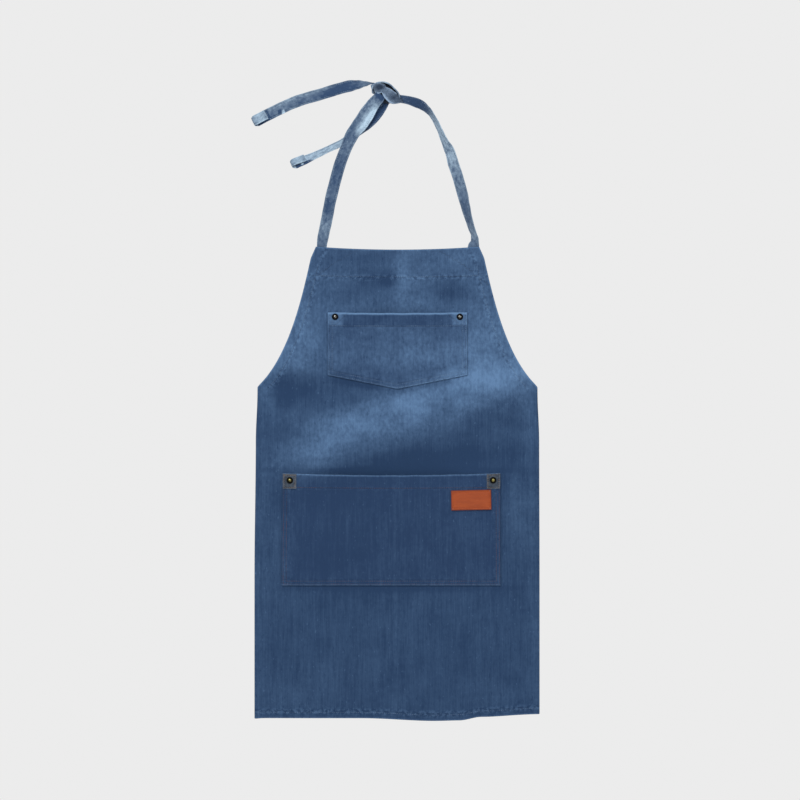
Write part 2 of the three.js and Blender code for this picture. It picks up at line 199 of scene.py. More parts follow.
class Graph:
    """A node tree that is wired by short calls."""

    def __init__(self, tree: bpy.types.NodeTree) -> None:
        """Hold the tree."""
        self.tree = tree

    def add(self, kind: str, **settings: object) -> bpy.types.Node:
        """Add a node.

        Args:
            kind: The node's type.
            settings: Its properties.

        Returns:
            The node.
        """
        node = self.tree.nodes.new(kind)
        for name, value in settings.items():
            setattr(node, name, value)
        return node

    def attribute(self, name: str) -> bpy.types.NodeSocket:
        """Read one of the piece's attributes."""
        return self.add("ShaderNodeAttribute", attribute_name=name).outputs["Fac"]

    def where(self) -> bpy.types.NodeSocket:
        """Read the place on the object."""
        return self.add("ShaderNodeTexCoord").outputs["Object"]

    def feed(self, socket: bpy.types.NodeSocket, value: object) -> None:
        """Link a socket to another, or set its value."""
        if isinstance(value, bpy.types.NodeSocket):
            self.tree.links.new(value, socket)
        else:
            socket.default_value = value

    def math(self, operation: str, *values: object, clamp: bool = False) -> bpy.types.NodeSocket:
        """Add a Math node.

        Args:
            operation: What it does.
            values: Its inputs, as sockets or numbers.
            clamp: Whether the result is kept from 0 to 1.

        Returns:
            The result.
        """
        node = self.add("ShaderNodeMath", operation=operation, use_clamp=clamp)
        for socket, value in zip(node.inputs, values):
            self.feed(socket, value)
        return node.outputs[0]

    def noise(
        self, vector: bpy.types.NodeSocket, scale: float, detail: float = 2.0, roughness: float = 0.5
    ) -> bpy.types.NodeSocket:
        """Add a noise texture.

        Args:
            vector: Where it reads.
            scale: Its scale.
            detail: Its octaves.
            roughness: How strong the finer octaves are.

        Returns:
            The noise, from 0 to 1.
        """
        node = self.add("ShaderNodeTexNoise")
        for name, value in (
            ("Vector", vector), ("Scale", scale), ("Detail", detail), ("Roughness", roughness)
        ):
            self.feed(node.inputs[name], value)
        return node.outputs["Fac"]

    def span(
        self, value: object, low: float, high: float, to_low: float = 0.0, to_high: float = 1.0
    ) -> bpy.types.NodeSocket:
        """Map a value from one span onto another, smoothly.

        Args:
            value: What is mapped.
            low: The start of its span.
            high: The end of its span.
            to_low: What the start becomes.
            to_high: What the end becomes.

        Returns:
            The mapped value.
        """
        node = self.add("ShaderNodeMapRange", interpolation_type="SMOOTHSTEP")
        for socket, number in zip(node.inputs, (value, low, high, to_low, to_high)):
            self.feed(socket, number)
        return node.outputs[0]

    def stretch(self, vector: bpy.types.NodeSocket, scale: Sequence[float]) -> bpy.types.NodeSocket:
        """Stretch coordinates by a scale along each axis."""
        node = self.add("ShaderNodeMapping")
        self.feed(node.inputs["Vector"], vector)
        self.feed(node.inputs["Scale"], tuple(scale))
        return node.outputs[0]

    def mix(self, share: object, first: object, second: object) -> bpy.types.NodeSocket:
        """Mix two colours.

        Args:
            share: How much of the second is in the mix.
            first: The first colour.
            second: The second colour.

        Returns:
            The mixed colour.
        """
        node = self.add("ShaderNodeMix", data_type="RGBA")
        for socket, value in ((node.inputs[0], share), (node.inputs[6], first), (node.inputs[7], second)):
            self.feed(socket, value)
        return node.outputs[2]


def new_group(
    name: str, inputs: dict[str, tuple[str, float]], outputs: Iterable[str]
) -> tuple[bpy.types.NodeTree, Graph, bpy.types.Node, bpy.types.Node]:
    """Start a shader node group.

    Args:
        name: Its name.
        inputs: The kind and the starting value of each input.
        outputs: The names of its value outputs.

    Returns:
        The group, its graph, and its input and output nodes.
    """
    tree = bpy.data.node_groups.new(name, "ShaderNodeTree")
    for label, (kind, value) in inputs.items():
        socket = tree.interface.new_socket(label, in_out="INPUT", socket_type=f"NodeSocket{kind}")
        if kind == "Float":
            socket.default_value = value
    for label in outputs:
        tree.interface.new_socket(label, in_out="OUTPUT", socket_type="NodeSocketFloat")
    graph = Graph(tree)
    return tree, graph, graph.add("NodeGroupInput"), graph.add("NodeGroupOutput")


def twill_group() -> bpy.types.NodeTree:
    """Build the weave of denim: its diagonal rib, its uneven warp yarns and its pale flecks.

    Returns:
        The group, with Rib, Yarn, Fleck and Slub outputs.
    """
    tree, graph, given, made = new_group(
        "twill", {"Vector": ("Vector", 0), "Rib Pitch": ("Float", 0.0011)}, ("Rib", "Yarn", "Fleck", "Slub")
    )
    vector = given.outputs["Vector"]
    parts = graph.add("ShaderNodeSeparateXYZ")
    graph.feed(parts.inputs[0], vector)
    climb = graph.math("MULTIPLY_ADD", parts.outputs[1], 0.55, parts.outputs[0])
    turns = graph.math("DIVIDE", climb, given.outputs["Rib Pitch"])
    rib = graph.math("SINE", graph.math("MULTIPLY", turns, 2 * math.pi))
    graph.feed(made.inputs["Rib"], graph.math("MULTIPLY_ADD", rib, 0.5, 0.5))
    warp = graph.noise(graph.stretch(vector, (420, 16, 1)), 1.0, 3.0, 0.65)
    broad = graph.noise(graph.stretch(vector, (130, 7, 1)), 1.0, 2.0, 0.6)
    broad = graph.math("MULTIPLY", broad, 0.4)
    graph.feed(made.inputs["Yarn"], graph.math("MULTIPLY_ADD", warp, 0.6, broad))
    fleck = graph.noise(graph.stretch(vector, (300, 150, 1)), 1.0, 1.0, 0.5)
    graph.feed(made.inputs["Fleck"], graph.span(fleck, 0.66, 0.8))
    slub = graph.noise(graph.stretch(vector, (330, 90, 1)), 1.0, 2.0, 0.6)
    graph.feed(made.inputs["Slub"], graph.span(slub, 0.62, 0.76))
    return tree


def wash_group() -> bpy.types.NodeTree:
    """Build the cloudy, mottled fading that washing leaves on cloth.

    Returns:
        The group, with Cloud and Mottle outputs.
    """
    tree, graph, given, made = new_group("wash", {"Vector": ("Vector", 0)}, ("Cloud", "Mottle"))
    vector = given.outputs["Vector"]
    graph.feed(made.inputs["Cloud"], graph.noise(graph.stretch(vector, (22, 15, 1)), 1.0, 3.0, 0.55))
    graph.feed(made.inputs["Mottle"], graph.noise(graph.stretch(vector, (190, 120, 1)), 1.0, 3.0, 0.6))
    return tree


def rubbed_group() -> bpy.types.NodeTree:
    """Build the rubbing of an edge and the puckers along its seams.

    Returns:
        The group: Rubbed is the worn edge, Puckered the creased band about a seam, and Crease its
        height.
    """
    tree, graph, given, made = new_group(
        "rubbed_edge",
        {
            "Vector": ("Vector", 0),
            "Edge": ("Float", 50.0),
            "Seam": ("Float", 50.0),
            "Rubbed Width": ("Float", 2.5),
        },
        ("Rubbed", "Puckered", "Crease"),
    )
    vector = given.outputs["Vector"]
    patchy = graph.noise(vector, 170.0, 3.0, 0.6)
    near = graph.math("DIVIDE", given.outputs["Edge"], given.outputs["Rubbed Width"])
    close = graph.span(near, 0.25, 1.0, 1.0, 0.0)
    worn = graph.math("MULTIPLY", close, graph.span(patchy, 0.3, 0.6, 0.35, 1.0))
    graph.feed(made.inputs["Rubbed"], worn)
    away = graph.math("ABSOLUTE", given.outputs["Seam"])
    band = graph.span(away, 0.5, 9.0, 1.0, 0.0)
    creases = graph.noise(vector, 165.0, 3.0, 0.6)
    worn_fold = graph.math("SUBTRACT", graph.span(creases, 0.38, 0.64), 0.3)
    graph.feed(made.inputs["Puckered"], graph.math("MULTIPLY", band, worn_fold))
    groove = graph.span(away, 0.0, 2.2, -0.8, 0.0)
    graph.feed(made.inputs["Crease"], graph.math("MULTIPLY_ADD", band, creases, groove))
    return tree


def grain_group() -> bpy.types.NodeTree:
    """Build the grain of leather.

    Returns:
        The group, with Cells and Stain outputs.
    """
    tree, graph, given, made = new_group("leather_grain", {"Vector": ("Vector", 0)}, ("Cells", "Stain"))
    vector = given.outputs["Vector"]
    cells = graph.add("ShaderNodeTexVoronoi", feature="DISTANCE_TO_EDGE")
    graph.feed(cells.inputs["Vector"], graph.stretch(vector, (750, 750, 950)))
    cells.inputs["Scale"].default_value = 1.0
    graph.feed(made.inputs["Cells"], graph.span(cells.outputs["Distance"], 0.0, 0.22))
    graph.feed(made.inputs["Stain"], graph.noise(graph.stretch(vector, (45, 45, 160)), 1.0, 4.0, 0.6))
    return tree


GROUP_MAKERS: dict[str, Callable[[], bpy.types.NodeTree]] = {
    "twill": twill_group,
    "wash": wash_group,
    "rubbed_edge": rubbed_group,
    "leather_grain": grain_group,
}


def place_group(graph: Graph, name: str, **inputs: object) -> bpy.types.Node:
    """Put a shared group into a material, building it the first time.

    Args:
        graph: The material's graph.
        name: The group's name.
        inputs: Its inputs, with underscores for spaces.

    Returns:
        The group's node.
    """
    tree = bpy.data.node_groups.get(name) or GROUP_MAKERS[name]()
    node = graph.add("ShaderNodeGroup", node_tree=tree)
    for label, value in inputs.items():
        graph.feed(node.inputs[label.replace("_", " ")], value)
    return node


def start_material(name: str) -> tuple[bpy.types.Material, Graph, bpy.types.Node]:
    """Start a material.

    Args:
        name: Its name.

    Returns:
        The material, its graph and its Principled shader.
    """
    material = bpy.data.materials.new(name)
    material.use_nodes = True
    graph = Graph(material.node_tree)
    return material, graph, material.node_tree.nodes["Principled BSDF"]


def bump(
    graph: Graph, height: bpy.types.NodeSocket, distance: float, strength: float
) -> bpy.types.NodeSocket:
    """Turn a height into a normal.

    Args:
        graph: The material's graph.
        height: The height, from about 0 to 1.
        distance: How far 1 stands proud, in metres.
        strength: The strength of the effect.

    Returns:
        The normal.
    """
    node = graph.add("ShaderNodeBump")
    for name, value in (("Strength", strength), ("Distance", distance), ("Height", height)):
        graph.feed(node.inputs[name], value)
    return node.outputs["Normal"]


Colour = tuple[float, float, float, float]


@dataclass(frozen=True)
class Denim:
    """Washed denim, from its darkest to its palest."""

    name: str
    dark: Colour
    pale: Colour
    base: float = 0.06  # tone where nothing has faded
    cloud: float = 0.25
    mottle: float = 0.2
    yarn: float = 0.5
    rubbed: float = 0.4
    puckered: float = 0.42
    rubbed_width: float = 2.5
    fade_and_painted_light_amount: float = 1.0  # how much the fading and the painted light and shade count

    def build(self) -> bpy.types.Material:
        """Make the material.

        Returns:
            The material.
        """
        material, graph, shader = start_material(self.name)
        weave = graph.add("ShaderNodeUVMap", uv_map=WEAVE_MAP).outputs[0]
        edge = graph.attribute("edge")
        seam = graph.attribute("seam")
        fade = graph.attribute("fade")
        twill = place_group(graph, "twill", Vector=weave)
        wash = place_group(graph, "wash", Vector=weave)
        rubbed = place_group(
            graph, "rubbed_edge", Vector=weave, Edge=edge, Seam=seam, Rubbed_Width=self.rubbed_width
        )
        tone: object = self.base
        lively = graph.math("MULTIPLY", graph.span(fade, -0.1, 0.5, 0.5, 3.8), self.mottle)
        for value, amount, middle in (
            (wash.outputs["Cloud"], self.cloud, 0.5),
            (wash.outputs["Mottle"], lively, 0.5),
            (twill.outputs["Yarn"], self.yarn, 0.5),
            (twill.outputs["Fleck"], 0.22, 0.0),
            (twill.outputs["Slub"], -0.2, 0.0),
            (twill.outputs["Rib"], 0.05, 0.5),
            (rubbed.outputs["Rubbed"], self.rubbed, 0.0),
            (rubbed.outputs["Puckered"], self.puckered, 0.0),
            # The tone attribute holds washed fading and painted light and shade.
            (fade, self.fade_and_painted_light_amount, 0.0),
        ):
            moved = graph.math("SUBTRACT", value, middle) if middle else value
            tone = graph.math("MULTIPLY_ADD", moved, amount, tone)
        share = graph.math("MULTIPLY_ADD", tone, 0.92, 0.03, clamp=True)
        colour = graph.mix(share, self.dark, self.pale)
        graph.feed(shader.inputs["Base Color"], colour)
        graph.feed(shader.inputs["Roughness"], graph.math("MULTIPLY_ADD", share, 0.1, 0.82))
        shader.inputs["Specular IOR Level"].default_value = 0.25
        shader.inputs["Sheen Weight"].default_value = 0.12
        shader.inputs["Sheen Roughness"].default_value = 0.5
        height = graph.math("MULTIPLY_ADD", rubbed.outputs["Crease"], 0.9, twill.outputs["Yarn"])
        height = graph.math("MULTIPLY_ADD", wash.outputs["Mottle"], 0.5, height)
        height = graph.math("MULTIPLY_ADD", twill.outputs["Rib"], 0.12, height)
        graph.feed(shader.inputs["Normal"], bump(graph, height, 0.0011, 0.8))
        return material


@dataclass(frozen=True)
class Thread:
    """Twisted sewing thread."""

    name: str
    colour: Colour
    shade: Colour

    def build(self) -> bpy.types.Material:
        """Make the material.

        Returns:
            The material.
        """
        material, graph, shader = start_material(self.name)
        where = graph.where()
        patch = graph.noise(where, 60.0, 2.0)
        twist = graph.noise(where, 2500.0, 1.0)
        colour = graph.mix(graph.span(patch, 0.35, 0.65), self.shade, self.colour)
        graph.feed(shader.inputs["Base Color"], colour)
        graph.feed(shader.inputs["Roughness"], graph.math("MULTIPLY_ADD", twist, 0.2, 0.55))
        graph.feed(shader.inputs["Normal"], bump(graph, twist, 0.0002, 0.6))
        return material


@dataclass(frozen=True)
class Leather:
    """Vegetable-tanned leather."""

    name: str
    light: Colour
    deep: Colour
    rim: Colour

    def build(self) -> bpy.types.Material:
        """Make the material.

        Returns:
            The material.
        """
        material, graph, shader = start_material(self.name)
        where = graph.where()
        edge = graph.attribute("edge")
        grain = place_group(graph, "leather_grain", Vector=where)
        colour = graph.mix(graph.span(grain.outputs["Stain"], 0.3, 0.7), self.deep, self.light)
        dusk = graph.span(edge, 0.3, 2.2, 0.85, 0.0)
        colour = graph.mix(dusk, colour, self.rim)
        graph.feed(shader.inputs["Base Color"], colour)
        graph.feed(
            shader.inputs["Roughness"], graph.math("MULTIPLY_ADD", grain.outputs["Stain"], 0.3, 0.35)
        )
        shader.inputs["Specular IOR Level"].default_value = 0.3
        height = graph.math("MULTIPLY_ADD", grain.outputs["Stain"], 0.8, grain.outputs["Cells"])
        graph.feed(shader.inputs["Normal"], bump(graph, height, 0.0004, 0.5))
        return material


@dataclass(frozen=True)
class Metal:
    """Cast and tumbled metal, tarnished in patches, and dark away from its middle so that it glints only
    there: a painted highlight.
    """

    name: str
    bright: Colour
    tarnish_off_glint: Colour
    roughness: float

    def build(self) -> bpy.types.Material:
        """Make the material.

        Returns:
            The material.
        """
        material, graph, shader = start_material(self.name)
        where = graph.where()
        cloudy = graph.noise(where, 420.0, 4.0, 0.6)
        glint_falloff = graph.attribute("edge")
        # Painted highlight: dark metal away from the middle keeps the glint small and central; the cloudy part
        # is tarnish.
        tarnish_and_glint_falloff = graph.math("MULTIPLY_ADD", glint_falloff, 0.8, graph.span(cloudy, 0.35, 0.7, 0.0, 0.6), clamp=True)
        graph.feed(shader.inputs["Base Color"], graph.mix(tarnish_and_glint_falloff, self.bright, self.tarnish_off_glint))
        graph.feed(shader.inputs["Roughness"], graph.math("MULTIPLY_ADD", tarnish_and_glint_falloff, 0.35, self.roughness))
        shader.inputs["Metallic"].default_value = 1.0
        graph.feed(shader.inputs["Normal"], bump(graph, cloudy, 0.0003, 0.35))
        return material


class Finish(Enum):
    """The finishes of the apron's pieces."""

    BODY = Denim("washed_denim", (0.0165, 0.0485, 0.121, 1), (0.135, 0.252, 0.445, 1), mottle=0.28)
    POCKET = Denim(
        "pocket_denim", (0.0165, 0.047, 0.12, 1), (0.135, 0.252, 0.445, 1), base=0.02, mottle=0.26,
        puckered=0.1,
    )
    HEM = Denim(
        "hem_denim", (0.0165, 0.046, 0.108, 1), (0.145, 0.26, 0.44, 1), base=0.1, mottle=0.45, rubbed=0.5
    )
    STRAP = Denim(
        "strap_denim", (0.03, 0.068, 0.152, 1), (0.53, 0.70, 0.85, 1), base=0.075, cloud=0.42, mottle=0.36,
        yarn=0.26, rubbed=0.22, puckered=0.1, rubbed_width=2.5, fade_and_painted_light_amount=0.68,
    )
    KNOT = Denim(
        "knot_denim", (0.025, 0.045, 0.085, 1), (0.32, 0.44, 0.60, 1), base=0.2, cloud=0.6, mottle=0.5,
        rubbed=0.5, puckered=0.15, rubbed_width=3.0,
    )
    SHADE = Denim("knot_shade", (0.004, 0.006, 0.012, 1), (0.02, 0.03, 0.05, 1))
    STRAP_THREAD = Thread("strap_thread", (0.34, 0.44, 0.55, 1), (0.06, 0.09, 0.14, 1))
    PATCH = Denim(
        "worn_patch", (0.034, 0.046, 0.066, 1), (0.14, 0.175, 0.225, 1), base=0.2, cloud=0.5, mottle=0.3,
        rubbed=0.5, rubbed_width=2.0,
    )
    BLUE_THREAD = Thread("blue_thread", (0.16, 0.25, 0.38, 1), (0.03, 0.06, 0.12, 1))
    PALE_THREAD = Thread("pale_thread", (0.32, 0.38, 0.42, 1), (0.10, 0.14, 0.18, 1))
    RUST_THREAD = Thread("rust_thread", (0.16, 0.07, 0.06, 1), (0.06, 0.045, 0.06, 1))
    TAN_THREAD = Thread("tan_thread", (0.42, 0.25, 0.13, 1), (0.10, 0.08, 0.09, 1))
    LEATHER = Leather(
        "tan_leather", (0.45, 0.086, 0.02, 1), (0.38, 0.068, 0.016, 1), (0.18, 0.03, 0.01, 1)
    )
    NICKEL = Metal("worn_nickel", (0.36, 0.35, 0.32, 1), (0.012, 0.013, 0.014, 1), 0.2)
    BRASS = Metal("worn_brass", (0.50, 0.43, 0.14, 1), (0.014, 0.014, 0.012, 1), 0.22)

    def material(self) -> bpy.types.Material:
        """The finish's material, made the first time it is asked for."""
        return bpy.data.materials.get(self.value.name) or self.value.build()


# ---- How the cloth hangs ----


@dataclass(frozen=True)
class Swelling:
    """An oval rise or patch on the cloth, in millimetres and degrees."""

    x: float
    z: float
    half_length: float
    half_width: float
    turn: float
    amount: float

    def at(self, x: float, z: float) -> float:
        """Its amount at a place.

        Args:
            x: Across the apron.
            z: Up the apron.

        Returns:
            The amount, which falls off smoothly from its middle.
        """
        turn = math.radians(self.turn)
        dx, dz = x - self.x, z - self.z
        along = (dx * math.cos(turn) + dz * math.sin(turn)) / self.half_length
        across = (dz * math.cos(turn) - dx * math.sin(turn)) / self.half_width
        return self.amount * math.exp(-along * along - across * across)


def swellings(*rows: tuple[float, ...]) -> tuple[Swelling, ...]:
    """Swellings from rows of x, z, half length, half width, turn and amount."""
    return tuple(Swelling(*row) for row in rows)


@dataclass(frozen=True)
class Drape:
    """How the hanging cloth leaves the flat, where it has faded, and where light and shade are painted on it.
    """

    bib_top: float = -243.0
    hem: float = -1043.0
    sag: float = 5.0
    flare: tuple[float, float] = (2.2, 0.6)  # how far the hem spreads to the left and right
    folds: tuple[Swelling, ...] = swellings(
        (-10, -556, 260, 46, 17, 7.0), (190, -492, 80, 30, 10, 3.0),
        (-185, -432, 60, 34, 20, 4.5), (6, -300, 14, 50, 0, 2.2), (-70, -300, 45, 26, 30, -2.0),
        (70, -318, 40, 26, -25, -2.2), (-120, -486, 110, 24, -4, -3.0),
        (110, -612, 150, 34, 5, -3.5), (-150, -700, 30, 200, 4, 1.8),
        (205, -760, 26, 190, -2, 2.2), (60, -1000, 60, 90, 0, 3.0),
        (190, -1010, 45, 90, 0, -3.0), (-60, -1000, 50, 80, 0, -1.5),
    )
    # Paler and darker patches: partly washed fading, partly painted light and shade where the folds face
    # towards or away from the light.
    fades_and_painted_light: tuple[Swelling, ...] = swellings(
        (20, -516, 140, 40, 20, 0.66), (150, -468, 66, 36, 8, 0.5),
        (-130, -578, 70, 36, 30, 0.42), (50, -425, 90, 22, 8, 0.24),
        (196, -482, 30, 26, 0, 0.26), (-70, -258, 60, 12, 0, -0.14),
        (-170, -395, 30, 62, 18, 0.30), (150, -385, 32, 62, -18, 0.24),
        (-16, -298, 20, 14, 0, -0.30), (-55, -306, 45, 26, 35, -0.18),
        (86, -322, 26, 20, 0, -0.26), (8, -298, 13, 42, 0, 0.28), (52, -338, 34, 18, 0, 0.10),
        (100, -262, 30, 14, 0, 0.22), (-225, -498, 16, 26, 0, 0.22),
        (60, -604, 140, 22, 4, -0.16), (-180, -492, 50, 22, 0, -0.10),
        (225, -560, 14, 60, 0, 0.10), (232, -800, 14, 240, 0, 0.07),
        (-232, -800, 14, 240, 0, 0.07), (-170, -1010, 60, 24, 0, 0.10),
        (170, -1008, 60, 22, 0, 0.05), (-200, -760, 30, 60, 0, 0.06),
        (205, -690, 20, 60, 0, 0.10), (-3, -800, 2.5, 300, 0, 0.05),
        # Painted shadows above the front pocket's mouth and below its bottom edge.
        (-10, -623, 190, 5, 0, -0.22), (-10, -824, 180, 6, 0, -0.14),
        # Painted shadows below the chest pocket's pointed bottom edges.
        (-60, -478, 62, 6, -11, -0.22), (60, -478, 62, 6, 11, -0.22),
        (215, -440, 16, 44, 30, 0.35), (-212, -446, 14, 40, -30, 0.3),
        (-120, -660, 80, 30, 0, -0.08), (-100, -740, 120, 90, 0, -0.04),
    )
    hem_line: tuple[tuple[float, float], ...] = (
        (-242, -1.6), (-225, -0.6), (-60, -0.8), (62, -5.2), (105, -4.4), (142, 1.4), (243, 6.2)
    )

    def depth(self, x: float, z: float) -> float:
        """How far the cloth stands behind the flat, at a place."""
        calm = smoothstep(-z, -self.bib_top, -self.bib_top + 35) * smoothstep(abs(x), 241, 186)
        waves = sum(fold.at(x, z) for fold in self.folds)
        slack = 0.9 * ripple(x, 0, z * 0.6, 70) + 0.35 * ripple(x, 9, z * 0.8, 26)
        return calm * (slack - waves)

    def moved(self, point: Vector) -> Vector:
        """Move a place on the flat apron to where it hangs.

        Args:
            point: The place.

        Returns:
            The place on the draped cloth.
        """
        x, z = point.x, point.z
        side = (x / 240.0) * self.flare[int(x > 0)] * smoothstep(-z, 571, 800)
        top = smoothstep(z, self.bib_top - 95, self.bib_top) * max(0.0, 1 - (x / 138.0) ** 2)
        low = level(self.hem_line, x) * smoothstep(-z, 850, -self.hem)
        return Vector((x + side, point.y + self.depth(x, z), z - self.sag * top + low))

    def fade(self, x: float, z: float) -> float:
        """How much paler or darker the cloth is at a place: washed fading, with painted light and shade of its
        folds and painted shadows along the pockets.
        """
        bib = 0.2 * smoothstep(z, -476, -430) - 0.04 * smoothstep(z, -310, -270)
        worn = sum(patch.at(x, z) for patch in self.fades_and_painted_light)
        uneven = 0.3 * ripple(x, 3, z * 1.4, 48) + 0.25 * ripple(x, 30, z * 1.2, 19)
        busy = 0.25 + 0.75 * smoothstep(z, -620, -520)
        return bib + worn * (1 + uneven) + 0.3 * busy * uneven


DRAPE = Drape()


# ---- Meshes ----


@dataclass
class Spot:
    """What one point of a cloth knows: its place, its place in the weave, and its distance in
    millimetres from the nearest edge and seam."""

    place: Vector
    weave: tuple[float, float]
    edge: float = FAR
    seam: float = FAR
    fade: float = 0.0


def link(name: str, mesh: bmesh.types.BMesh, finish: Finish) -> bpy.types.Object:
    """Turn a bmesh in millimetres into a finished object in metres.

    Args:
        name: The object's name.
        mesh: The bmesh, which is freed.
        finish: Its finish.

    Returns:
        The object.
    """
    bmesh.ops.scale(mesh, vec=(MM, MM, MM), verts=mesh.verts)
    data = bpy.data.meshes.new(name)
    mesh.to_mesh(data)
    mesh.free()
    data.polygons.foreach_set("use_smooth", [True] * len(data.polygons))
    data.materials.append(finish.material())
    item = bpy.data.objects.new(name, data)
    bpy.context.scene.collection.objects.link(item)
    return item


def cloth_grid(
    columns: Sequence[float], rows: Sequence[float], spot: Callable[[float, float], Spot]
) -> bmesh.types.BMesh:
    """Lay a grid of cloth.

    Args:
        columns: The values of the grid's lines one way.
        rows: The values of its lines the other way.
        spot: Gives the spot of each pair of values.

    Returns:
        The bmesh, in millimetres, with its weave map, its edge and seam attributes, and its tone attribute of
        fading with painted light and shade.
    """
    mesh = bmesh.new()
    bmesh.ops.create_grid(mesh, x_segments=len(columns) - 1, y_segments=len(rows) - 1, size=1)
    layers = {name: mesh.verts.layers.float.new(name) for name in ("edge", "seam", "fade")}
    weave = mesh.loops.layers.uv.new(WEAVE_MAP)
    spots: dict[int, Spot] = {}
    for vert in mesh.verts:
        i = round((vert.co.x + 1) / 2 * (len(columns) - 1))
        j = round((vert.co.y + 1) / 2 * (len(rows) - 1))
        spots[vert.index] = found = spot(columns[i], rows[j])
        for name, layer in layers.items():
            vert[layer] = getattr(found, name)
    for face in mesh.faces:
        for loop in face.loops:
            across, along = spots[loop.vert.index].weave
            loop[weave].uv = (across * MM, along * MM)
    for vert in mesh.verts:
        vert.co = spots[vert.index].place
    return mesh


def thicken(item: bpy.types.Object, thickness: float, round_off: float = 0.3) -> bpy.types.Object:
    """Give a sheet its thickness, equally to both sides, and soften its cut edges.

    Args:
        item: The sheet.
        thickness: The thickness in millimetres.
        round_off: The width of the softened edge.

    Returns:
        The same object.
    """
    wall = item.modifiers.new("thickness", "SOLIDIFY")
    wall.thickness, wall.offset, wall.use_even_offset = thickness * MM, 0.0, False
    soft = item.modifiers.new("soft_edge", "BEVEL")
    soft.width, soft.segments, soft.limit_method = round_off * MM, 2, "ANGLE"
    soft.angle_limit = math.radians(60)
    return item


def apply_modifiers(item: bpy.types.Object) -> None:
    """Apply an object's modifiers to its mesh."""
    graph = bpy.context.evaluated_depsgraph_get()
    done = bpy.data.meshes.new_from_object(item.evaluated_get(graph))
    item.modifiers.clear()
    old, item.data = item.data, done
    bpy.data.meshes.remove(old)


@dataclass(frozen=True)
class Line:
    """A grid line near an edge: its distance from the edge, and how far it is turned to the back."""

    inset: float
    back: float


def turned_edge(radius: float) -> list[Line]:
    """The lines of an edge that is turned to the back round a radius, from the back to the face."""
    turn = [Line(radius * (1 - math.sin(a)), radius * (1 - math.cos(a))) for a in
            (math.pi, 0.8 * math.pi, 0.6 * math.pi, 0.4 * math.pi, 0.2 * math.pi, 0.0)]
    return [*turn, Line(radius + 1.2, 0.0), Line(radius + 3.0, 0.0)]


def flat_edge(count: int, reach: float) -> list[Line]:
    """As many lines as a turned edge has, flat, out to a cut edge."""
    return [Line(reach * i / (count - 1), 0.0) for i in range(count)]


def codes(lines: Sequence[Line], first: float, way: int = 1) -> list[float]:
    """The numbers that stand for an edge's lines among a grid's rows or columns."""
    return [first + way * CODE_GAP * i for i in range(len(lines))]


def coded(lines: Sequence[Line], past: float) -> Line:
    """The line whose number is this far past the first one's."""
    return lines[round(past / CODE_GAP)]


def inward(line: Sequence[Vector]) -> Iterator[tuple[Vector, Vector]]:
    """Each point of a side line, with the direction square to it that leads into the cloth."""
    for i, point in enumerate(line):
        along = (line[min(i + 1, len(line) - 1)] - line[max(i - 1, 0)]).normalized()
        yield point, Vector((along.y, -along.x))


def hem_cloth(
    name: str, outer: Sequence[Vector], inner: Sequence[Vector], layer: float, columns: Sequence[float],
    paler: float = 0.0,
) -> bpy.types.Object:
    """Make a band of turned-in cloth behind a panel.

    Args:
        name: Its name.
        outer: Its outer line in X and Z, along the turned edge.
        inner: Its inner line, point for point.
        layer: Its Y.
        columns: Its grid's lines, as shares of its width.
        paler: How much more faded than the panel it is.

    Returns:
        The band.
    """

    def spot(column: float, row: float) -> Spot:
        """The spot of a column and a row."""
        a, b = outer[int(row)], inner[int(row)]
        x, z = a.lerp(b, column)
        edge = (1 - column) * (b - a).length
        place = DRAPE.moved(Vector((x, layer, z)))
        return Spot(place, (x, z), edge, edge - 2.0, DRAPE.fade(x, z) + paler)

    return thicken(link(name, cloth_grid(columns, range(len(outer)), spot), Finish.HEM), CLOTH)


class Sided:
    """Something that comes as a left one and a right one."""

    sign: int

    @property
    def side(self) -> str:
        """The side's name."""
        return SIDES[self.sign]


@dataclass
class Seams:
    """Rows of real stitches, which are made one object for each thread."""

    length: float = 2.7
    pitch: float = 3.7
    radius: float = 0.34
    rows: dict[tuple[str, Finish, str], list[tuple[list[Vector], Vector]]] = field(default_factory=dict)

    def sew(
        self, area: str, finish: Finish, body: str, points: Sequence[Vector],
        out: Vector = Vector((0, -1, 0)),
    ) -> None:
        """Add a row of stitches.

        Args:
            area: The name of the area it belongs to.
            finish: The thread.
            body: The body that it rides on.
            points: The line that it follows, on the cloth's surface.
            out: The way out of the cloth.
        """
        self.rows.setdefault((area, finish, body), []).append((list(points), out))

    def build(self) -> list[tuple[bpy.types.Object, str]]:
        """Make the stitches.

        Returns:
            Each area's object, and the body that it rides on.
        """
        made = []
        for (area, finish, body), rows in self.rows.items():
            mesh = bmesh.new()
            for points, out in rows:
                row = self._row(points, out)
                mesh.from_mesh(row)
                bpy.data.meshes.remove(row)
            made.append((link(f"stitches_{area}", mesh, finish), body))
        return made

    def _row(self, points: Sequence[Vector], out: Vector) -> bpy.types.Mesh:
        """Lay the stitches of one row.

        Args:
            points: The row's line.
            out: The way out of the cloth.

        Returns:
            The stitches.
        """
        mesh = bmesh.new()
        start = self.pitch / 2
        for before, after in zip(points, points[1:]):
            run = (after - before).length
            if run < 1e-6:
                continue
            along = (after - before) / run
            while start < run:
                self._stitch(mesh, before + along * start, along, out)
                start += self.pitch
            start -= run
        row = bpy.data.meshes.new("row")
        mesh.to_mesh(row)
        mesh.free()
        return row

    def _stitch(self, mesh: bmesh.types.BMesh, at: Vector, along: Vector, out: Vector) -> None:
        """Make one stitch.

        Args:
            mesh: Where it goes.
            at: Its middle.
            along: Its direction.
            out: The way out of the cloth.
        """
        made = bmesh.ops.create_uvsphere(mesh, u_segments=6, v_segments=4, radius=1)["verts"]
        across = along.cross(out).normalized()
        turn = Matrix((across, along.cross(across), along)).transposed()
        shape = turn @ Matrix.Diagonal((self.radius, self.radius, self.length / 2))
        bmesh.ops.transform(mesh, matrix=Matrix.Translation(at) @ shape.to_4x4(), verts=made)


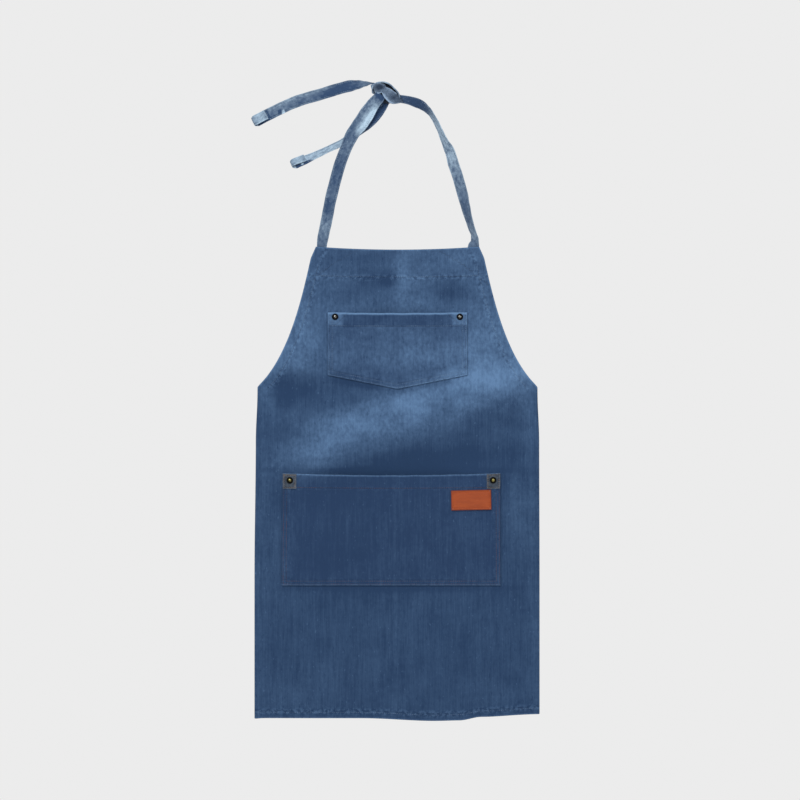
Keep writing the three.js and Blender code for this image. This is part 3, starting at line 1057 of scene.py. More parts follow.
def flat_line(points: Iterable[tuple[float, float]], y: float, step: float = 4.0) -> list[Vector]:
    """A line over the hanging cloth.

    Args:
        points: Its corners on the flat apron, in X and Z.
        y: Its layer.
        step: The longest step between its points.

    Returns:
        The points, hanging as the cloth does.
    """
    corners = [Vector((x, y, z)) for x, z in points]
    line: list[Vector] = []
    for before, after in zip(corners, corners[1:]):
        steps = max(1, math.ceil((after - before).length / step))
        line += [DRAPE.moved(before.lerp(after, i / steps)) for i in range(steps)]
    return [*line, DRAPE.moved(corners[-1])]


# ---- The body ----


@dataclass
class Apron:
    """The body panel with its facing and hems, in one piece from bib to hem."""

    bib_top: float = -243.0
    bib_half: float = 138.5
    hem: float = -1043.0
    fold_x: float = 237.4
    corner: float = -480.0
    side_top: float = -488.75
    flare_out: float = 8.5
    flare_drop: float = 19.0
    hem_layer: float = 1.5
    armhole_hem: float = 16.0
    facing: float = 50.0
    bottom_hem: float = 11.0

    def __post_init__(self) -> None:
        """Lay out the armhole."""
        start = Vector((self.bib_half + self.flare_out, self.bib_top - self.flare_drop))
        end = Vector((self.fold_x - 0.4, self.corner))
        span = end - start
        grips = [start + Vector((a * span.x, b * span.y)) for a, b in ((0.18, 0.335), (0.43, 0.78))]
        curve = []
        for i in range(81):
            t = i / 80
            curve.append(
                (1 - t) ** 3 * start
                + 3 * t * (1 - t) ** 2 * grips[0]
                + 3 * t * t * (1 - t) * grips[1]
                + t**3 * end
            )
        self.side_line = [Vector((self.bib_half, self.bib_top)), *curve]
        self.line_z = [-point.y for point in self.side_line]

    def half(self, z: float) -> float:
        """Half of the body's width at a height."""
        if z <= self.corner:
            return self.fold_x
        i = min(max(bisect_right(self.line_z, -z), 1), len(self.side_line) - 1)
        before, after = self.side_line[i - 1], self.side_line[i]
        share = (z - before.y) / (after.y - before.y)
        return lerp(before.x, after.x, share)

    def from_side(self, x: float, z: float) -> float:
        """About how far a place is from the side, measured square to it."""
        near = (self.half(z) - self.half(z + 2)) / 2
        return (self.half(z) - abs(x)) / math.hypot(1, near)

    def panel(self) -> bpy.types.Object:
        """Make the body panel.

        Returns:
            The panel, turned in along its armholes, top and hem.
        """
        side = turned_edge(TURN)
        flat = flat_edge(len(side), 3.6)
        first, last = codes(side, -2.0), codes(side, 2.0, -1)[::-1]
        columns = [*first, *spaced(-1.0, 1.0, 0.0175)[1:-1], *last]
        rows = [*first, *spaced(self.hem + 6, self.bib_top - 6, 4.0), *last]

        def lift(row: float) -> tuple[float, float]:
            """The height of a row and how far it is turned to the back."""
            if 1.0 < row <= 2.0:
                line = coded(side, 2.0 - row)
                return self.bib_top - line.inset, line.back
            if -2.0 <= row < -1.0:
                line = coded(side, row + 2.0)
                return self.hem + line.inset, line.back
            return row, 0.0

        def spot(column: float, row: float) -> Spot:
            """The spot of a column and a row."""
            z, back = lift(row)
            half = self.half(z)
            if abs(column) > 1.0:
                past = 2.0 - abs(column)
                cut, turned = coded(flat, past), coded(side, past)
                share = smoothstep(z, self.side_top - 4, self.corner + 4)
                x = math.copysign(half - lerp(cut.inset, turned.inset, share), column)
                back = max(back, turned.back * share)
            else:
                x = column * (half - 4.2)
            from_side = self.from_side(x, z)
            from_top, from_hem = self.bib_top - z, z - self.hem
            side_edge = from_side if z > self.side_top else FAR
            seams = [from_top - self.facing, from_hem - self.bottom_hem]
            if z > self.side_top:
                seams.append(from_side - self.armhole_hem)
            place = DRAPE.moved(Vector((x, back, z)))
            return Spot(
                place, (x, z), min(side_edge, from_top, from_hem), min(seams, key=abs), DRAPE.fade(x, z)
            )

        item = link("body", cloth_grid(columns, rows, spot), Finish.BODY)
        return thicken(item, CLOTH)

    def band(self, name: str, outer: Sequence[Vector], inner: Sequence[Vector]) -> bpy.types.Object:
        """Make one of the body's hems between an outer and an inner line."""
        columns = (0.0, 0.08, 0.3, 0.5, 0.7, 0.92, 1.0)
        return hem_cloth(name, outer, inner, self.hem_layer + 0.02, columns, 0.05)

    def armhole_band(self, sign: int) -> bpy.types.Object:
        """Make the hem of one armhole.

        Args:
            sign: -1 for the left, 1 for the right.

        Returns:
            The hem.
        """
        line = [point for point in self.side_line if point.y < self.bib_top - 0.5]
        line = [Vector((self.half(self.bib_top - 0.8), self.bib_top - 0.8)), *line]
        outer, inner = [], []
        for point, into in inward(line):
            near, far = point + into * TURN, point + into * self.armhole_hem
            outer.append(Vector((sign * near.x, near.y)))
            inner.append(Vector((sign * far.x, min(far.y, self.bib_top - 0.8))))
        return self.band(f"armhole_hem_cloth_{SIDES[sign]}", outer, inner)

    def facing_band(self) -> bpy.types.Object:
        """Make the facing behind the bib's top edge."""
        top, low = self.bib_top - TURN, self.bib_top - self.facing
        reach = self.armhole_hem + 0.8
        outer, inner = [], []
        for share in spaced(-1, 1, 0.03):
            outer.append(Vector((share * (self.half(top) - reach), top)))
            inner.append(Vector((share * (self.half(low) - reach), low)))
        return self.band("bib_facing_cloth", outer, inner)

    def hem_band(self) -> bpy.types.Object:
        """Make the bottom hem."""
        xs = spaced(-self.fold_x + 0.4, self.fold_x - 0.4, 6.0)
        outer = [Vector((x, self.hem + TURN)) for x in xs]
        inner = [Vector((x, self.hem + self.bottom_hem)) for x in xs]
        return self.band("bottom_hem_cloth", outer, inner)

    def sew(self, seams: Seams) -> None:
        """Add the body's stitching.

        Args:
            seams: Where the rows go.
        """
        front, back = -CLOTH / 2, self.hem_layer + CLOTH / 2
        for y, out in ((front, Vector((0, -1, 0))), (back, Vector((0, 1, 0)))):
            low = self.bib_top - self.facing + 1.5
            reach = self.half(low) - self.armhole_hem + 1.0
            side = "front" if y < 0 else "back"
            row = flat_line([(-reach, low), (reach, low)], y)
            seams.sew(f"facing_{side}", Finish.BLUE_THREAD, "apron", row, out)
            low = self.hem + self.bottom_hem - 1.6
            ends = self.fold_x - 1
            row = flat_line([(-ends, low), (ends, low)], y)
            seams.sew(f"hem_{side}", Finish.BLUE_THREAD, "apron", row, out)
            for sign in SIDES:
                line = [p for p in self.side_line[::4] if p.y < self.bib_top - 2]
                row = []
                for point, into in inward(line):
                    shifted = point + into * (self.armhole_hem - 1.8)
                    if shifted.y > self.corner - 6 and abs(shifted.x) < self.fold_x:
                        row.append((sign * shifted.x, shifted.y))
                seams.sew(f"armhole_{side}", Finish.BLUE_THREAD, "apron", flat_line(row, y), out)


@dataclass
class Flap(Sided):
    """One side of the body, folded behind, with its hems."""

    apron: Apron
    sign: int
    layer: float = 6.2
    hem_layer: float = 4.7
    free_x: float = 145.4
    drop: float = 34.0
    side_hem: float = 14.0
    width: float = 92.0
    start: float = 3.45

    def top(self, x: float) -> float:
        """The height of the flap's top edge at a distance from the middle."""
        t = self._turn(min(max(1 - (x - self.free_x) / self.reach, 0.0), 1.0))
        high = self.apron.side_top
        bend = 2 * t * (1 - t) * (high - 0.9 * self.drop)
        return (1 - t) ** 2 * high + bend + t * t * (high - self.drop)

    def _turn(self, share: float) -> float:
        """The curve's own share where it has gone a share of its way across."""
        low, high = 0.0, 1.0
        for _ in range(24):
            t = (low + high) / 2
            gone = 2 * t * (1 - t) * (0.4 * self.width / self.reach) + t * t
            low, high = (t, high) if gone < share else (low, t)
        return (low + high) / 2

    @property
    def reach(self) -> float:
        """How far the flap's top edge runs across."""
        return self.apron.fold_x - self.start - self.free_x

    @property
    def near(self) -> float:
        """Where the hems and stitches end, so that they miss the body's edge when it is unfolded."""
        return self.apron.fold_x - self.start - 2.0

    def panel(self) -> bpy.types.Object:
        """Make the folded side, from the body's edge round the fold to its free edge.

        Returns:
            The flap.
        """
        radius, fold_x, lip = self.layer / 2, self.apron.fold_x, turned_edge(TURN)
        round_fold, face = spaced(0.0, math.pi, 0.28), spaced(fold_x - 2, self.free_x + 6, 4.0)
        columns = [*round_fold, *face, *codes(lip, -1.0, -1)[::-1]]
        rows = [*codes(lip, -2.0), *spaced(0.012, 0.988, 0.0075), *codes(lip, 2.0)[::-1]]

        def spot(column: float, row: float) -> Spot:
            """The spot of a column and a row."""
            turned, from_side = 0.0, FAR
            folded = 0 <= column <= math.pi + 0.01
            if column < 0:
                line = coded(lip, -1.0 - column)
                x, y, turned = self.free_x + line.inset, self.layer, line.back
                from_side, high = line.inset, self.top(x)
            elif folded:
                x = fold_x + radius * math.sin(column)
                y = radius * (1 - math.cos(column))
                bend = math.sin(column)
                high = self.apron.side_top if column > math.pi / 2 else lerp(
                    self.apron.corner - 1.0, self.apron.side_top, smoothstep(bend, 0.0, 1.0)
                )
            else:
                x, y, high = column, self.layer, self.top(column)
                from_side = column - self.free_x
            low = self.apron.hem
            if row < -1.0:
                line = coded(lip, row + 2.0)
                z, lifted, up = low + line.inset, line.back, line.inset
            elif row >= 2.0:
                line = coded(lip, row - 2.0)
                z, lifted, up = high - line.inset, line.back, line.inset
            else:
                z, lifted = lerp(low + 6, high - 6, (row - 0.012) / 0.976), 0.0
                up = min(z - low, high - z)
            if folded:
                pinch = smoothstep(-z, 486, 575)
                x = fold_x + (x - fold_x) * lerp(0.05, 1.0, pinch)
                into = Vector((-math.sin(column), 0, math.cos(column)))
                back = min(lifted, 1.2)
                place = Vector((x + into.x * back, y + into.z * back, z))
            else:
                place = Vector((x, y - max(turned, lifted), z))
            seams = [z - low - self.apron.bottom_hem, high - z - self.apron.armhole_hem]
            if not folded:
                seams.append(from_side - self.side_hem)
            weave = fold_x + column if folded else x
            hung = DRAPE.moved(Vector((place.x * self.sign, place.y, place.z)))
            fade = DRAPE.fade(self.sign * x, z) * 0.9
            if folded:
                fade += 0.10 * math.sin(column)
            return Spot(hung, (self.sign * weave, z), min(up, from_side), min(seams, key=abs), fade)

        mesh = cloth_grid(columns, rows, spot)
        bmesh.ops.recalc_face_normals(mesh, faces=mesh.faces)
        return thicken(link(f"side_flap_cloth_{self.side}", mesh, Finish.BODY), CLOTH)

    def hems(self) -> dict[str, bpy.types.Object]:
        """Make the flap's three hems.

        Returns:
            Each CAD hem's name with the piece that stands for it.
        """
        wide, low, side_hem = self.apron.armhole_hem, self.apron.hem, self.free_x + self.side_hem
        xs = spaced(self.free_x + TURN, self.near, 5.0)
        zs = spaced(low + self.apron.bottom_hem + 0.4, self.top(self.free_x) - wide - 2, 6.0)
        hems = {}
        for kind, outer, inner in (
            ("armhole", [(x, self.top(x) - TURN) for x in xs], [(x, self.top(x) - wide) for x in xs]),
            ("side", [(self.free_x + TURN, z) for z in zs], [(side_hem, z) for z in zs]),
            ("bottom", [(x, low + TURN) for x in xs], [(x, low + self.apron.bottom_hem) for x in xs]),
        ):
            lines = ([Vector((self.sign * x, z)) for x, z in line] for line in (outer, inner))
            columns = (0.0, 0.08, 0.5, 0.92, 1.0)
            hems[f"flap_{kind}_hem_{self.side}"] = hem_cloth(
                f"flap_{kind}_hem_cloth_{self.side}", *lines, self.hem_layer, columns
            )
        return hems

    def sew(self, seams: Seams) -> None:
        """Add the flap's stitching, which shows on its outer face and on its hems.

        Args:
            seams: Where the rows go.
        """
        body = f"{self.side}_flap"
        wide = self.apron.armhole_hem - 1.8
        for y, out, face in (
            (self.layer + 0.6, Vector((0, 1, 0)), "outer"),
            (self.hem_layer - 0.6, Vector((0, -1, 0)), "inner"),
        ):
            top = [(x, self.top(x) - wide) for x in spaced(self.free_x + 2, self.near, 6)]
            side_x = self.free_x + self.side_hem - 1.8
            low = self.apron.hem + self.apron.bottom_hem - 1.6
            for line in (
                top,
                [(side_x, low + 2), (side_x, self.top(side_x) - wide - 3)],
                [(self.free_x + 2, low), (self.near, low)],
            ):
                row = flat_line([(self.sign * x, z) for x, z in line], y)
                seams.sew(f"{face}_flap_{self.side}", Finish.BLUE_THREAD, body, row, out)


# ---- Pockets ----


@dataclass
class Pocket:
    """A patch pocket with a hemmed mouth."""

    name: str
    x: float
    mouth: float
    width: float
    height: float
    point: float
    hem: float
    belly: float
    flat_rim: float
    mouth_thread: Finish
    side_thread: Finish
    layer: float = -3.0
    turn_layer: float = -1.5
    turned: float = 8.0
    sag: float = 1.6
    lip_wear_and_highlight: float = 0.2
    hem_fade: float = 0.0
    corner_fade: float = 0.0
    side_cover: float = 0.0  # how much of the worn edge the side seams keep out of sight

    def bottom(self, x: float) -> float:
        """The height of the bottom edge at a place across."""
        share = 1 - abs(x - self.x) / (self.width / 2)
        return self.mouth - self.height - self.point * max(share, 0.0)

    def proud(self, x: float, z: float) -> float:
        """How far the pocket stands proud of the body at a place."""
        from_side = self.width / 2 - abs(x - self.x)
        across = smoothstep(from_side, self.flat_rim, self.flat_rim + 0.27 * self.width)
        return self.belly * across * smoothstep(z, self.bottom(x) + self.turned, self.mouth)

    def sagged(self, x: float, z: float) -> float:
        """How far the cloth sinks at a place, most at the middle of the mouth."""
        share = max(0.0, 1 - ((x - self.x) / (self.width / 2)) ** 2)
        wobble = 0.5 * ripple(x, 5, 0, 22)
        return -(self.sag * share + wobble) * smoothstep(z, self.mouth - 40, self.mouth)

    def tone(self, x: float, z: float) -> float:
        """How much paler or darker the pocket's cloth is at a place: washed fading, wear, and painted light
        and shade.
        """
        from_side, from_top = self.width / 2 - abs(x - self.x), self.mouth - z
        # Paler along the mouth's folded edge: wear, and a painted highlight where the fold faces the light.
        lip = self.lip_wear_and_highlight * smoothstep(from_top, 4.0, 0.8)
        hem = self.hem_fade * smoothstep(from_top, self.hem + 2, self.hem - 2)
        corner = self.corner_fade * smoothstep(from_side, 26, 22) * smoothstep(from_top, 24, 19)
        return DRAPE.fade(x, z) + lip + hem + corner

    def panel(self) -> bpy.types.Object:
        """Make the pocket's face, turned in along every edge.

        Returns:
            The face.
        """
        lip = turned_edge(TURN)
        half = self.width / 2
        first = codes(lip, -2.0)
        columns = [*first, *spaced(-1.0, 1.0, 4.0 / half)[1:-1], *codes(lip, 2.0, -1)[::-1]]
        rows = [*first, *spaced(0.0, 1.0, 4.0 / self.height), *codes(lip, 3.0, -1)[::-1]]

        def spot(column: float, row: float) -> Spot:
            """The spot of a column and a row."""
            turned = 0.0
            if abs(column) > 1.0:
                line = coded(lip, 2.0 - abs(column))
                x = self.x + math.copysign(half - line.inset, column)
                turned = line.back
            else:
                x = self.x + column * (half - 4.2)
            low, high = self.bottom(x), self.mouth
            if row < -1.0:
                line = coded(lip, row + 2.0)
                z, turned = low + line.inset, max(turned, line.back)
            elif row > 2.0:
                line = coded(lip, 3.0 - row)
                z, turned = high - line.inset, max(turned, line.back)
            else:
                z = lerp(low + 4.2, high - 4.2, row)
            y = self.layer - self.proud(x, z) + turned
            place = DRAPE.moved(Vector((x, y, z + self.sagged(x, z))))
            from_side = half - abs(x - self.x)
            edge = min(from_side + self.side_cover, z - low, high - z)
            seams = [high - z - self.hem, from_side - self.turned, z - low - self.turned]
            return Spot(place, (x + 3, z + 11), edge, min(seams, key=abs), self.tone(x, z))

        item = link(f"{self.name}_cloth", cloth_grid(columns, rows, spot), Finish.POCKET)
        return thicken(item, CLOTH)

    def inside(self) -> dict[str, bpy.types.Object]:
        """Make the mouth's hem and the turned-under edge, behind the face.

        Returns:
            Each CAD node's name with the piece that stands for it.
        """
        reach = self.width / 2 - self.turned - 0.3

        def hem_spot(column: float, row: float) -> Spot:
            """The spot of a column and a row of the hem."""
            x, z = self.x + column * reach, lerp(self.mouth - self.hem, self.mouth - TURN, row)
            y = self.turn_layer - self.proud(x, z)
            place = DRAPE.moved(Vector((x, y, z + self.sagged(x, z))))
            edge = z - (self.mouth - self.hem)
            return Spot(place, (x, z), edge, edge - 2, self.tone(x, z) - 0.1)

        hem = cloth_grid(spaced(-1, 1, 0.03), spaced(0, 1, 0.16), hem_spot)
        return {
            f"{self.name}_hem": thicken(link(f"{self.name}_hem_cloth", hem, Finish.HEM), CLOTH),
            f"{self.name}_turned_edge": self._rim(),
        }

    def _rim(self) -> bpy.types.Object:
        """Make the edge that is turned under along the sides and the bottom.

        Returns:
            The edge.
        """
        half = self.width / 2
        inner_half = half - self.turned
        corners = [(-1.0, True), (-1.0, False), (0.0, False), (1.0, False), (1.0, True)]
        line: list[tuple[float, float]] = []
        for (a, high), (b, low) in zip(corners, corners[1:]):
            for share in spaced(0, 1, 0.05)[:-1]:
                across = lerp(a, b, share)
                line.append((across, lerp(high, low, share)))
        line.append((1.0, 1.0))

        def spot(column: float, row: float) -> Spot:
            """The spot of a column and a row."""
            across, up = line[int(row)]
            wide = lerp(half - TURN, inner_half, column)
            x = self.x + across * wide
            low = self.bottom(self.x + across * half) + lerp(TURN, self.turned, column)
            z = lerp(low, self.mouth - TURN, up)
            place = DRAPE.moved(Vector((x, self.turn_layer, z)))
            return Spot(place, (x, z), 10.0, FAR, self.tone(x, z) - 0.1)

        mesh = cloth_grid([0.0, 0.5, 1.0], range(len(line)), spot)
        return thicken(link(f"{self.name}_turned_edge_cloth", mesh, Finish.HEM), CLOTH)

    def face_line(self, points: Iterable[tuple[float, float]], lift: float = 0.6) -> list[Vector]:
        """A line over the pocket's face.

        Args:
            points: Its corners, in X and Z.
            lift: How far in front of the cloth's middle it is.

        Returns:
            The points, hanging as the cloth does.
        """
        corners = list(points)
        line = []
        for (ax, az), (bx, bz) in zip(corners, corners[1:]):
            steps = max(1, math.ceil(math.hypot(bx - ax, bz - az) / 4))
            for i in range(steps + 1):
                x, z = lerp(ax, bx, i / steps), lerp(az, bz, i / steps)
                y = self.layer - lift - self.proud(x, z)
                line.append(DRAPE.moved(Vector((x, y, z + self.sagged(x, z)))))
        return line

    def sew(self, seams: Seams) -> None:
        """Add the pocket's stitching: one row below the mouth and two along the other sides.

        Args:
            seams: Where the rows go.
        """
        half = self.width / 2
        low = self.mouth - self.hem + 1.6
        reach = half - 3
        row = self.face_line([(self.x - reach, low), (self.x + reach, low)])
        seams.sew(f"{self.name}_mouth", self.mouth_thread, "apron", row)
        for inset in (2.0, 7.0):
            x = half - inset
            left, right = self.x - x, self.x + x
            low = [(at, self.bottom(at) + inset) for at in (left, self.x, right)]
            outline = [(left, self.mouth - 2), *low, (right, self.mouth - 2)]
            seams.sew(f"{self.name}_sides", self.side_thread, "apron", self.face_line(outline))


@dataclass
class CornerPatch(Sided):
    """A reinforcing patch at an upper corner of the front pocket."""

    pocket: Pocket
    sign: int
    width: float = 23.0
    height: float = 26.0
    thickness: float = 1.0
    gap: float = 0.3

    @property
    def middle(self) -> float:
        """The patch's middle across."""
        return self.pocket.x + self.sign * (self.pocket.width / 2 - self.width / 2)

    def build(self) -> bpy.types.Object:
        """Make the patch.

        Returns:
            The patch.
        """
        lift = CLOTH / 2 + self.gap + self.thickness / 2
        top = self.pocket.mouth

        def spot(column: float, row: float) -> Spot:
            """The spot of a column and a row."""
            frayed = 0.5 * ripple(column * 30, row * 30, self.sign * 7, 4)
            x = self.middle + column * (self.width / 2 + (frayed if abs(column) == 1 else 0))
            z = lerp(top - self.height, top, row) + (frayed if row in (0.0, 1.0) else 0)
            y = self.pocket.layer - self.pocket.proud(x, z) - lift
            place = DRAPE.moved(Vector((x, y + 0.25 * ripple(x, 0, z, 6), z + self.pocket.sagged(x, z))))
            edge = min(self.width / 2 * (1 - abs(column)), self.height * min(row, 1 - row))
            return Spot(place, (x, z), edge, edge - 2.2, 0.0)

        mesh = cloth_grid(spaced(-1, 1, 0.12), spaced(0, 1, 0.06), spot)
        item = link(f"corner_patch_cloth_{self.side}", mesh, Finish.PATCH)
        return thicken(item, self.thickness)

    def sew(self, seams: Seams) -> None:
        """Add the patch's stitching.

        Args:
            seams: Where the rows go.
        """
        half, inset = self.width / 2 - 2.2, 2.2
        top, low = self.pocket.mouth - inset, self.pocket.mouth - self.height + inset
        left, right = self.middle - half, self.middle + half
        ring = [(left, top), (left, low), (right, low), (right, top), (left, top)]
        lift = CLOTH / 2 + self.gap + self.thickness
        seams.sew(f"patch_{self.side}", Finish.TAN_THREAD, "apron", self.pocket.face_line(ring, lift))


@dataclass
class Label:
    """The leather label on the front pocket."""

    pocket: Pocket
    right: float = 159.0
    top: float = -656.0
    width: float = 68.0
    height: float = 34.0
    thickness: float = 2.0
    gap: float = 0.3
    lean: float = 1.0

    def place(self, across: float, up: float, lift: float) -> Vector:
        """A place on the label.

        Args:
            across: From 0 at its left to 1 at its right.
            up: From 0 at its bottom to 1 at its top.
            lift: How far it is in front of the pocket's face.

        Returns:
            The place, hanging as the cloth does.
        """
        turn = math.radians(self.lean)
        dx, dz = (across - 0.5) * self.width, (up - 0.5) * self.height
        x = self.right - self.width / 2 + dx * math.cos(turn) - dz * math.sin(turn)
        z = self.top - self.height / 2 + dz * math.cos(turn) + dx * math.sin(turn)
        y = self.pocket.layer - CLOTH / 2 - self.gap - self.pocket.proud(x, z) - lift
        return DRAPE.moved(Vector((x, y, z + self.pocket.sagged(x, z))))

    def build(self) -> bpy.types.Object:
        """Make the label, with a pressed line round it.

        Returns:
            The label.
        """
        groove = 3.4

        def steps(size: float) -> list[float]:
            """Shares across a side, closer together at its edge and its pressed line."""
            near = [0, 0.5, 1.2, groove - 0.7, groove - 0.2, groove + 0.2, groove + 0.7]
            inner = spaced(groove + 2, size - groove - 2, 4.0)
            return [v / size for v in [*near, *inner, *(size - n for n in reversed(near))]]

        def spot(column: float, row: float) -> Spot:
            """The spot of a column and a row."""
            edge = min(column, 1 - column) * self.width, min(row, 1 - row) * self.height
            near = min(edge)
            pressed = 0.45 * math.exp(-(((near - groove) / 0.45) ** 2))
            worn = 0.25 * smoothstep(near, 1.6, 0.0)
            curl = 0.5 * smoothstep(near, 6, 0)
            lift = self.thickness / 2 - pressed - worn + curl
            return Spot(self.place(column, row, lift), (column, row), near)

        mesh = cloth_grid(steps(self.width), steps(self.height), spot)
        return thicken(link("label", mesh, Finish.LEATHER), self.thickness, 0.45)

    def sew(self, seams: Seams) -> None:
        """Add the short cross stitches that hold the label's corners.

        Args:
            seams: Where the rows go.
        """
        inset_x, inset_z = 2.0 / self.width, 2.0 / self.height
        for across in (inset_x, 1 - inset_x):
            for up in (inset_z, 1 - inset_z):
                lift = self.thickness + 0.15
                a = self.place(across - 1.9 / self.width, up, lift)
                b = self.place(across + 1.9 / self.width, up, lift)
                seams.sew("label", Finish.PALE_THREAD, "apron", [a, b])
                a = self.place(across, up - 1.9 / self.height, lift)
                b = self.place(across, up + 1.9 / self.height, lift)
                seams.sew("label", Finish.PALE_THREAD, "apron", [a, b])


@dataclass
class Rivet:
    """A rivet with a domed cap, a collar, and the burr behind it."""

    name: str
    x: float
    z: float
    face: float
    finish: Finish
    pocket: Pocket
    radius: float = 4.9
    height: float = 2.6
    shank: float = 1.5
    burr_radius: float = 4.2
    burr_start: float = 0.9
    burr_thickness: float = 1.4

    def place(self) -> Vector:
        """How far the cloth's drape moves the rivet."""
        flat = Vector((self.x, self.face, self.z + self.pocket.sagged(self.x, self.z)))
        return DRAPE.moved(flat) - Vector((self.x, self.face, self.z))

    def turned(self, name: str, profile: Sequence[tuple[float, float]]) -> bpy.types.Object:
        """Turn a profile about the rivet's axis.

        Args:
            name: The piece's name.
            profile: Its (radius, y) points, from the front.

        Returns:
            The turned piece.
        """
        mesh = bmesh.new()
        verts = [mesh.verts.new((radius, y, 0)) for radius, y in profile]
        edges = [mesh.edges.new(pair) for pair in zip(verts, verts[1:])]
        bmesh.ops.spin(
            mesh, geom=[*verts, *edges], cent=(0, 0, 0), axis=(0, 1, 0), angle=2 * math.pi, steps=40,
            use_merge=True,
        )
        bmesh.ops.remove_doubles(mesh, verts=mesh.verts, dist=1e-4)
        bmesh.ops.recalc_face_normals(mesh, faces=mesh.faces)
        # Painted highlight: the metal darkens away from the axis, so that only the cap's middle glints.
        glint_falloff = mesh.verts.layers.float.new("edge")
        for vert in mesh.verts:
            reach = math.hypot(vert.co.x, vert.co.z) / self.radius
            vert[glint_falloff] = 1.2 * smoothstep(reach, 0.3, 0.6)
        shift = self.place() + Vector((self.x, 0, self.z))
        bmesh.ops.translate(mesh, vec=shift, verts=mesh.verts)
        return link(name, mesh, self.finish)

    def cap(self) -> bpy.types.Object:
        """Make the cap with its shank.

        Returns:
            The cap.
        """
        face, top, r = self.face, self.face - self.height, self.radius
        tip = self.burr_start + self.burr_thickness
        profile = [
            (0.0, top), (0.7, top + 0.03), (1.4, top + 0.14), (2.1, top + 0.36), (2.8, top + 0.74),
            (3.3, top + 1.2), (3.5, top + 1.5), (3.7, top + 1.46), (4.2, top + 1.34), (4.6, top + 1.5),
            (r, top + 1.9), (r, face - 0.6), (r + 0.6, face - 0.45), (r + 0.7, face - 0.25),
            (r + 0.5, face - 0.1), (self.shank, face), (self.shank, tip - 0.3),
            (self.shank - 0.3, tip), (0.0, tip),
        ]
        return self.turned(f"rivet_cap_{self.name}", profile)

    def burr(self) -> bpy.types.Object:
        """Make the burr, a turned washer.

        Returns:
            The burr.
        """
        low, high = self.burr_start, self.burr_start + self.burr_thickness
        hole, r = self.shank + 0.3, self.burr_radius
        profile = [
            (hole, low), (r - 0.3, low), (r, low + 0.3), (r, high - 0.5), (r - 0.35, high - 0.15),
            (r - 0.9, high), (hole + 0.6, high), (hole, high - 0.4), (hole, low),
        ]
        return self.turned(f"rivet_burr_{self.name}", profile)


# ---- Straps, ties and the knot ----


@dataclass(frozen=True)
class StrapCut:
    """The cross-section of a doubled strap with sewn edges."""

    width: float = 20.0
    middle: float = 0.62
    groove: float = 0.5
    bead: float = 0.78

    def ring(self) -> list[tuple[float, float]]:
        """The section's outline as (across, through) shares of a width of 2 and in millimetres."""
        half = [
            (-1.0, 0.0), (-0.985, 0.45), (-0.93, self.bead), (-0.84, self.bead * 0.95),
            (-0.76, self.groove), (-0.66, self.middle), (-0.35, self.middle * 1.1), (0.0, self.middle * 1.15),
            (0.35, self.middle * 1.1), (0.66, self.middle), (0.76, self.groove), (0.84, self.bead * 0.95),
            (0.93, self.bead), (0.985, 0.45), (1.0, 0.0),
        ]
        return [*half, *((x, -y) for x, y in reversed(half[:-1]))]

    def stitched(self) -> list[tuple[float, float, int]]:
        """The rows of stitches: each one's place across, its height through the strap and its face."""
        lift = self.groove + 0.05
        return [(across, face * lift, face) for across in (-0.76, 0.76) for face in (-1, 1)]


@dataclass(frozen=True)
class StrapFadeAndPaintedLight:
    """A paler or darker patch of a strap; some are washed fading, others painted light and shade."""

    run: float  # its middle, as a share of the strap's length
    across: float  # -1 at one edge to 1 at the other
    length: float
    width: float
    amount: float

    def at(self, run: float, across: float) -> float:
        """What the patch adds to the tone at a share of the length and a place across."""
        away = ((run - self.run) / self.length) ** 4 + ((across - self.across) / self.width) ** 4
        return self.amount * math.exp(-away)


class TurnedEnd:
    """The line of a strap's end, which goes on past the last point and turns back over its front."""

    def __init__(
        self, line: Spline, rise: float, length: float = 20.0, reach: float = 3.0, radius: float = 2.6
    ) -> None:
        """Lay the line.

        Args:
            line: The strap's own line.
            rise: How much higher the turned-back end lies than the strap behind it.
            length: How far the end is turned back.
            reach: How far the strap goes on before it turns.
            radius: The radius of the turn.
        """
        self.rise = rise
        self.at, self.along, self.across, self.deep = line.frame(line.length)
        if self.deep.y > 0:
            self.deep, self.across = -self.deep, -self.across
        self.reach, self.radius, self.back = reach, radius, length + reach
        self.length = reach + math.pi * radius + self.back

    def frame(self, run: float) -> tuple[Vector, Vector, Vector, Vector]:
        """Find the directions of the strap along the line.

        Args:
            run: The length along the line.

        Returns:
            The place, and the directions along, across and through the strap.
        """
        turn = math.pi * self.radius
        if run < self.reach:
            forward, front, angle = run, 0.0, 0.0
        elif run < self.reach + turn:
            angle = (run - self.reach) / self.radius
            forward = self.reach + self.radius * math.sin(angle)
            front = self.radius * (1 - math.cos(angle))
        else:
            gone = run - self.reach - turn
            close = 0.9 * smoothstep(gone, 4, self.back)
            forward, front, angle = self.reach - gone, 2 * self.radius - close, math.pi
        lift = self.across * math.copysign(self.rise, self.across.z) * smoothstep(run, self.reach, 12)
        at = self.at + self.along * forward + self.deep * front + lift
        along = self.along * math.cos(angle) + self.deep * math.sin(angle)
        deep = self.deep * math.cos(angle) - self.along * math.sin(angle)
        return at, along, self.across, deep


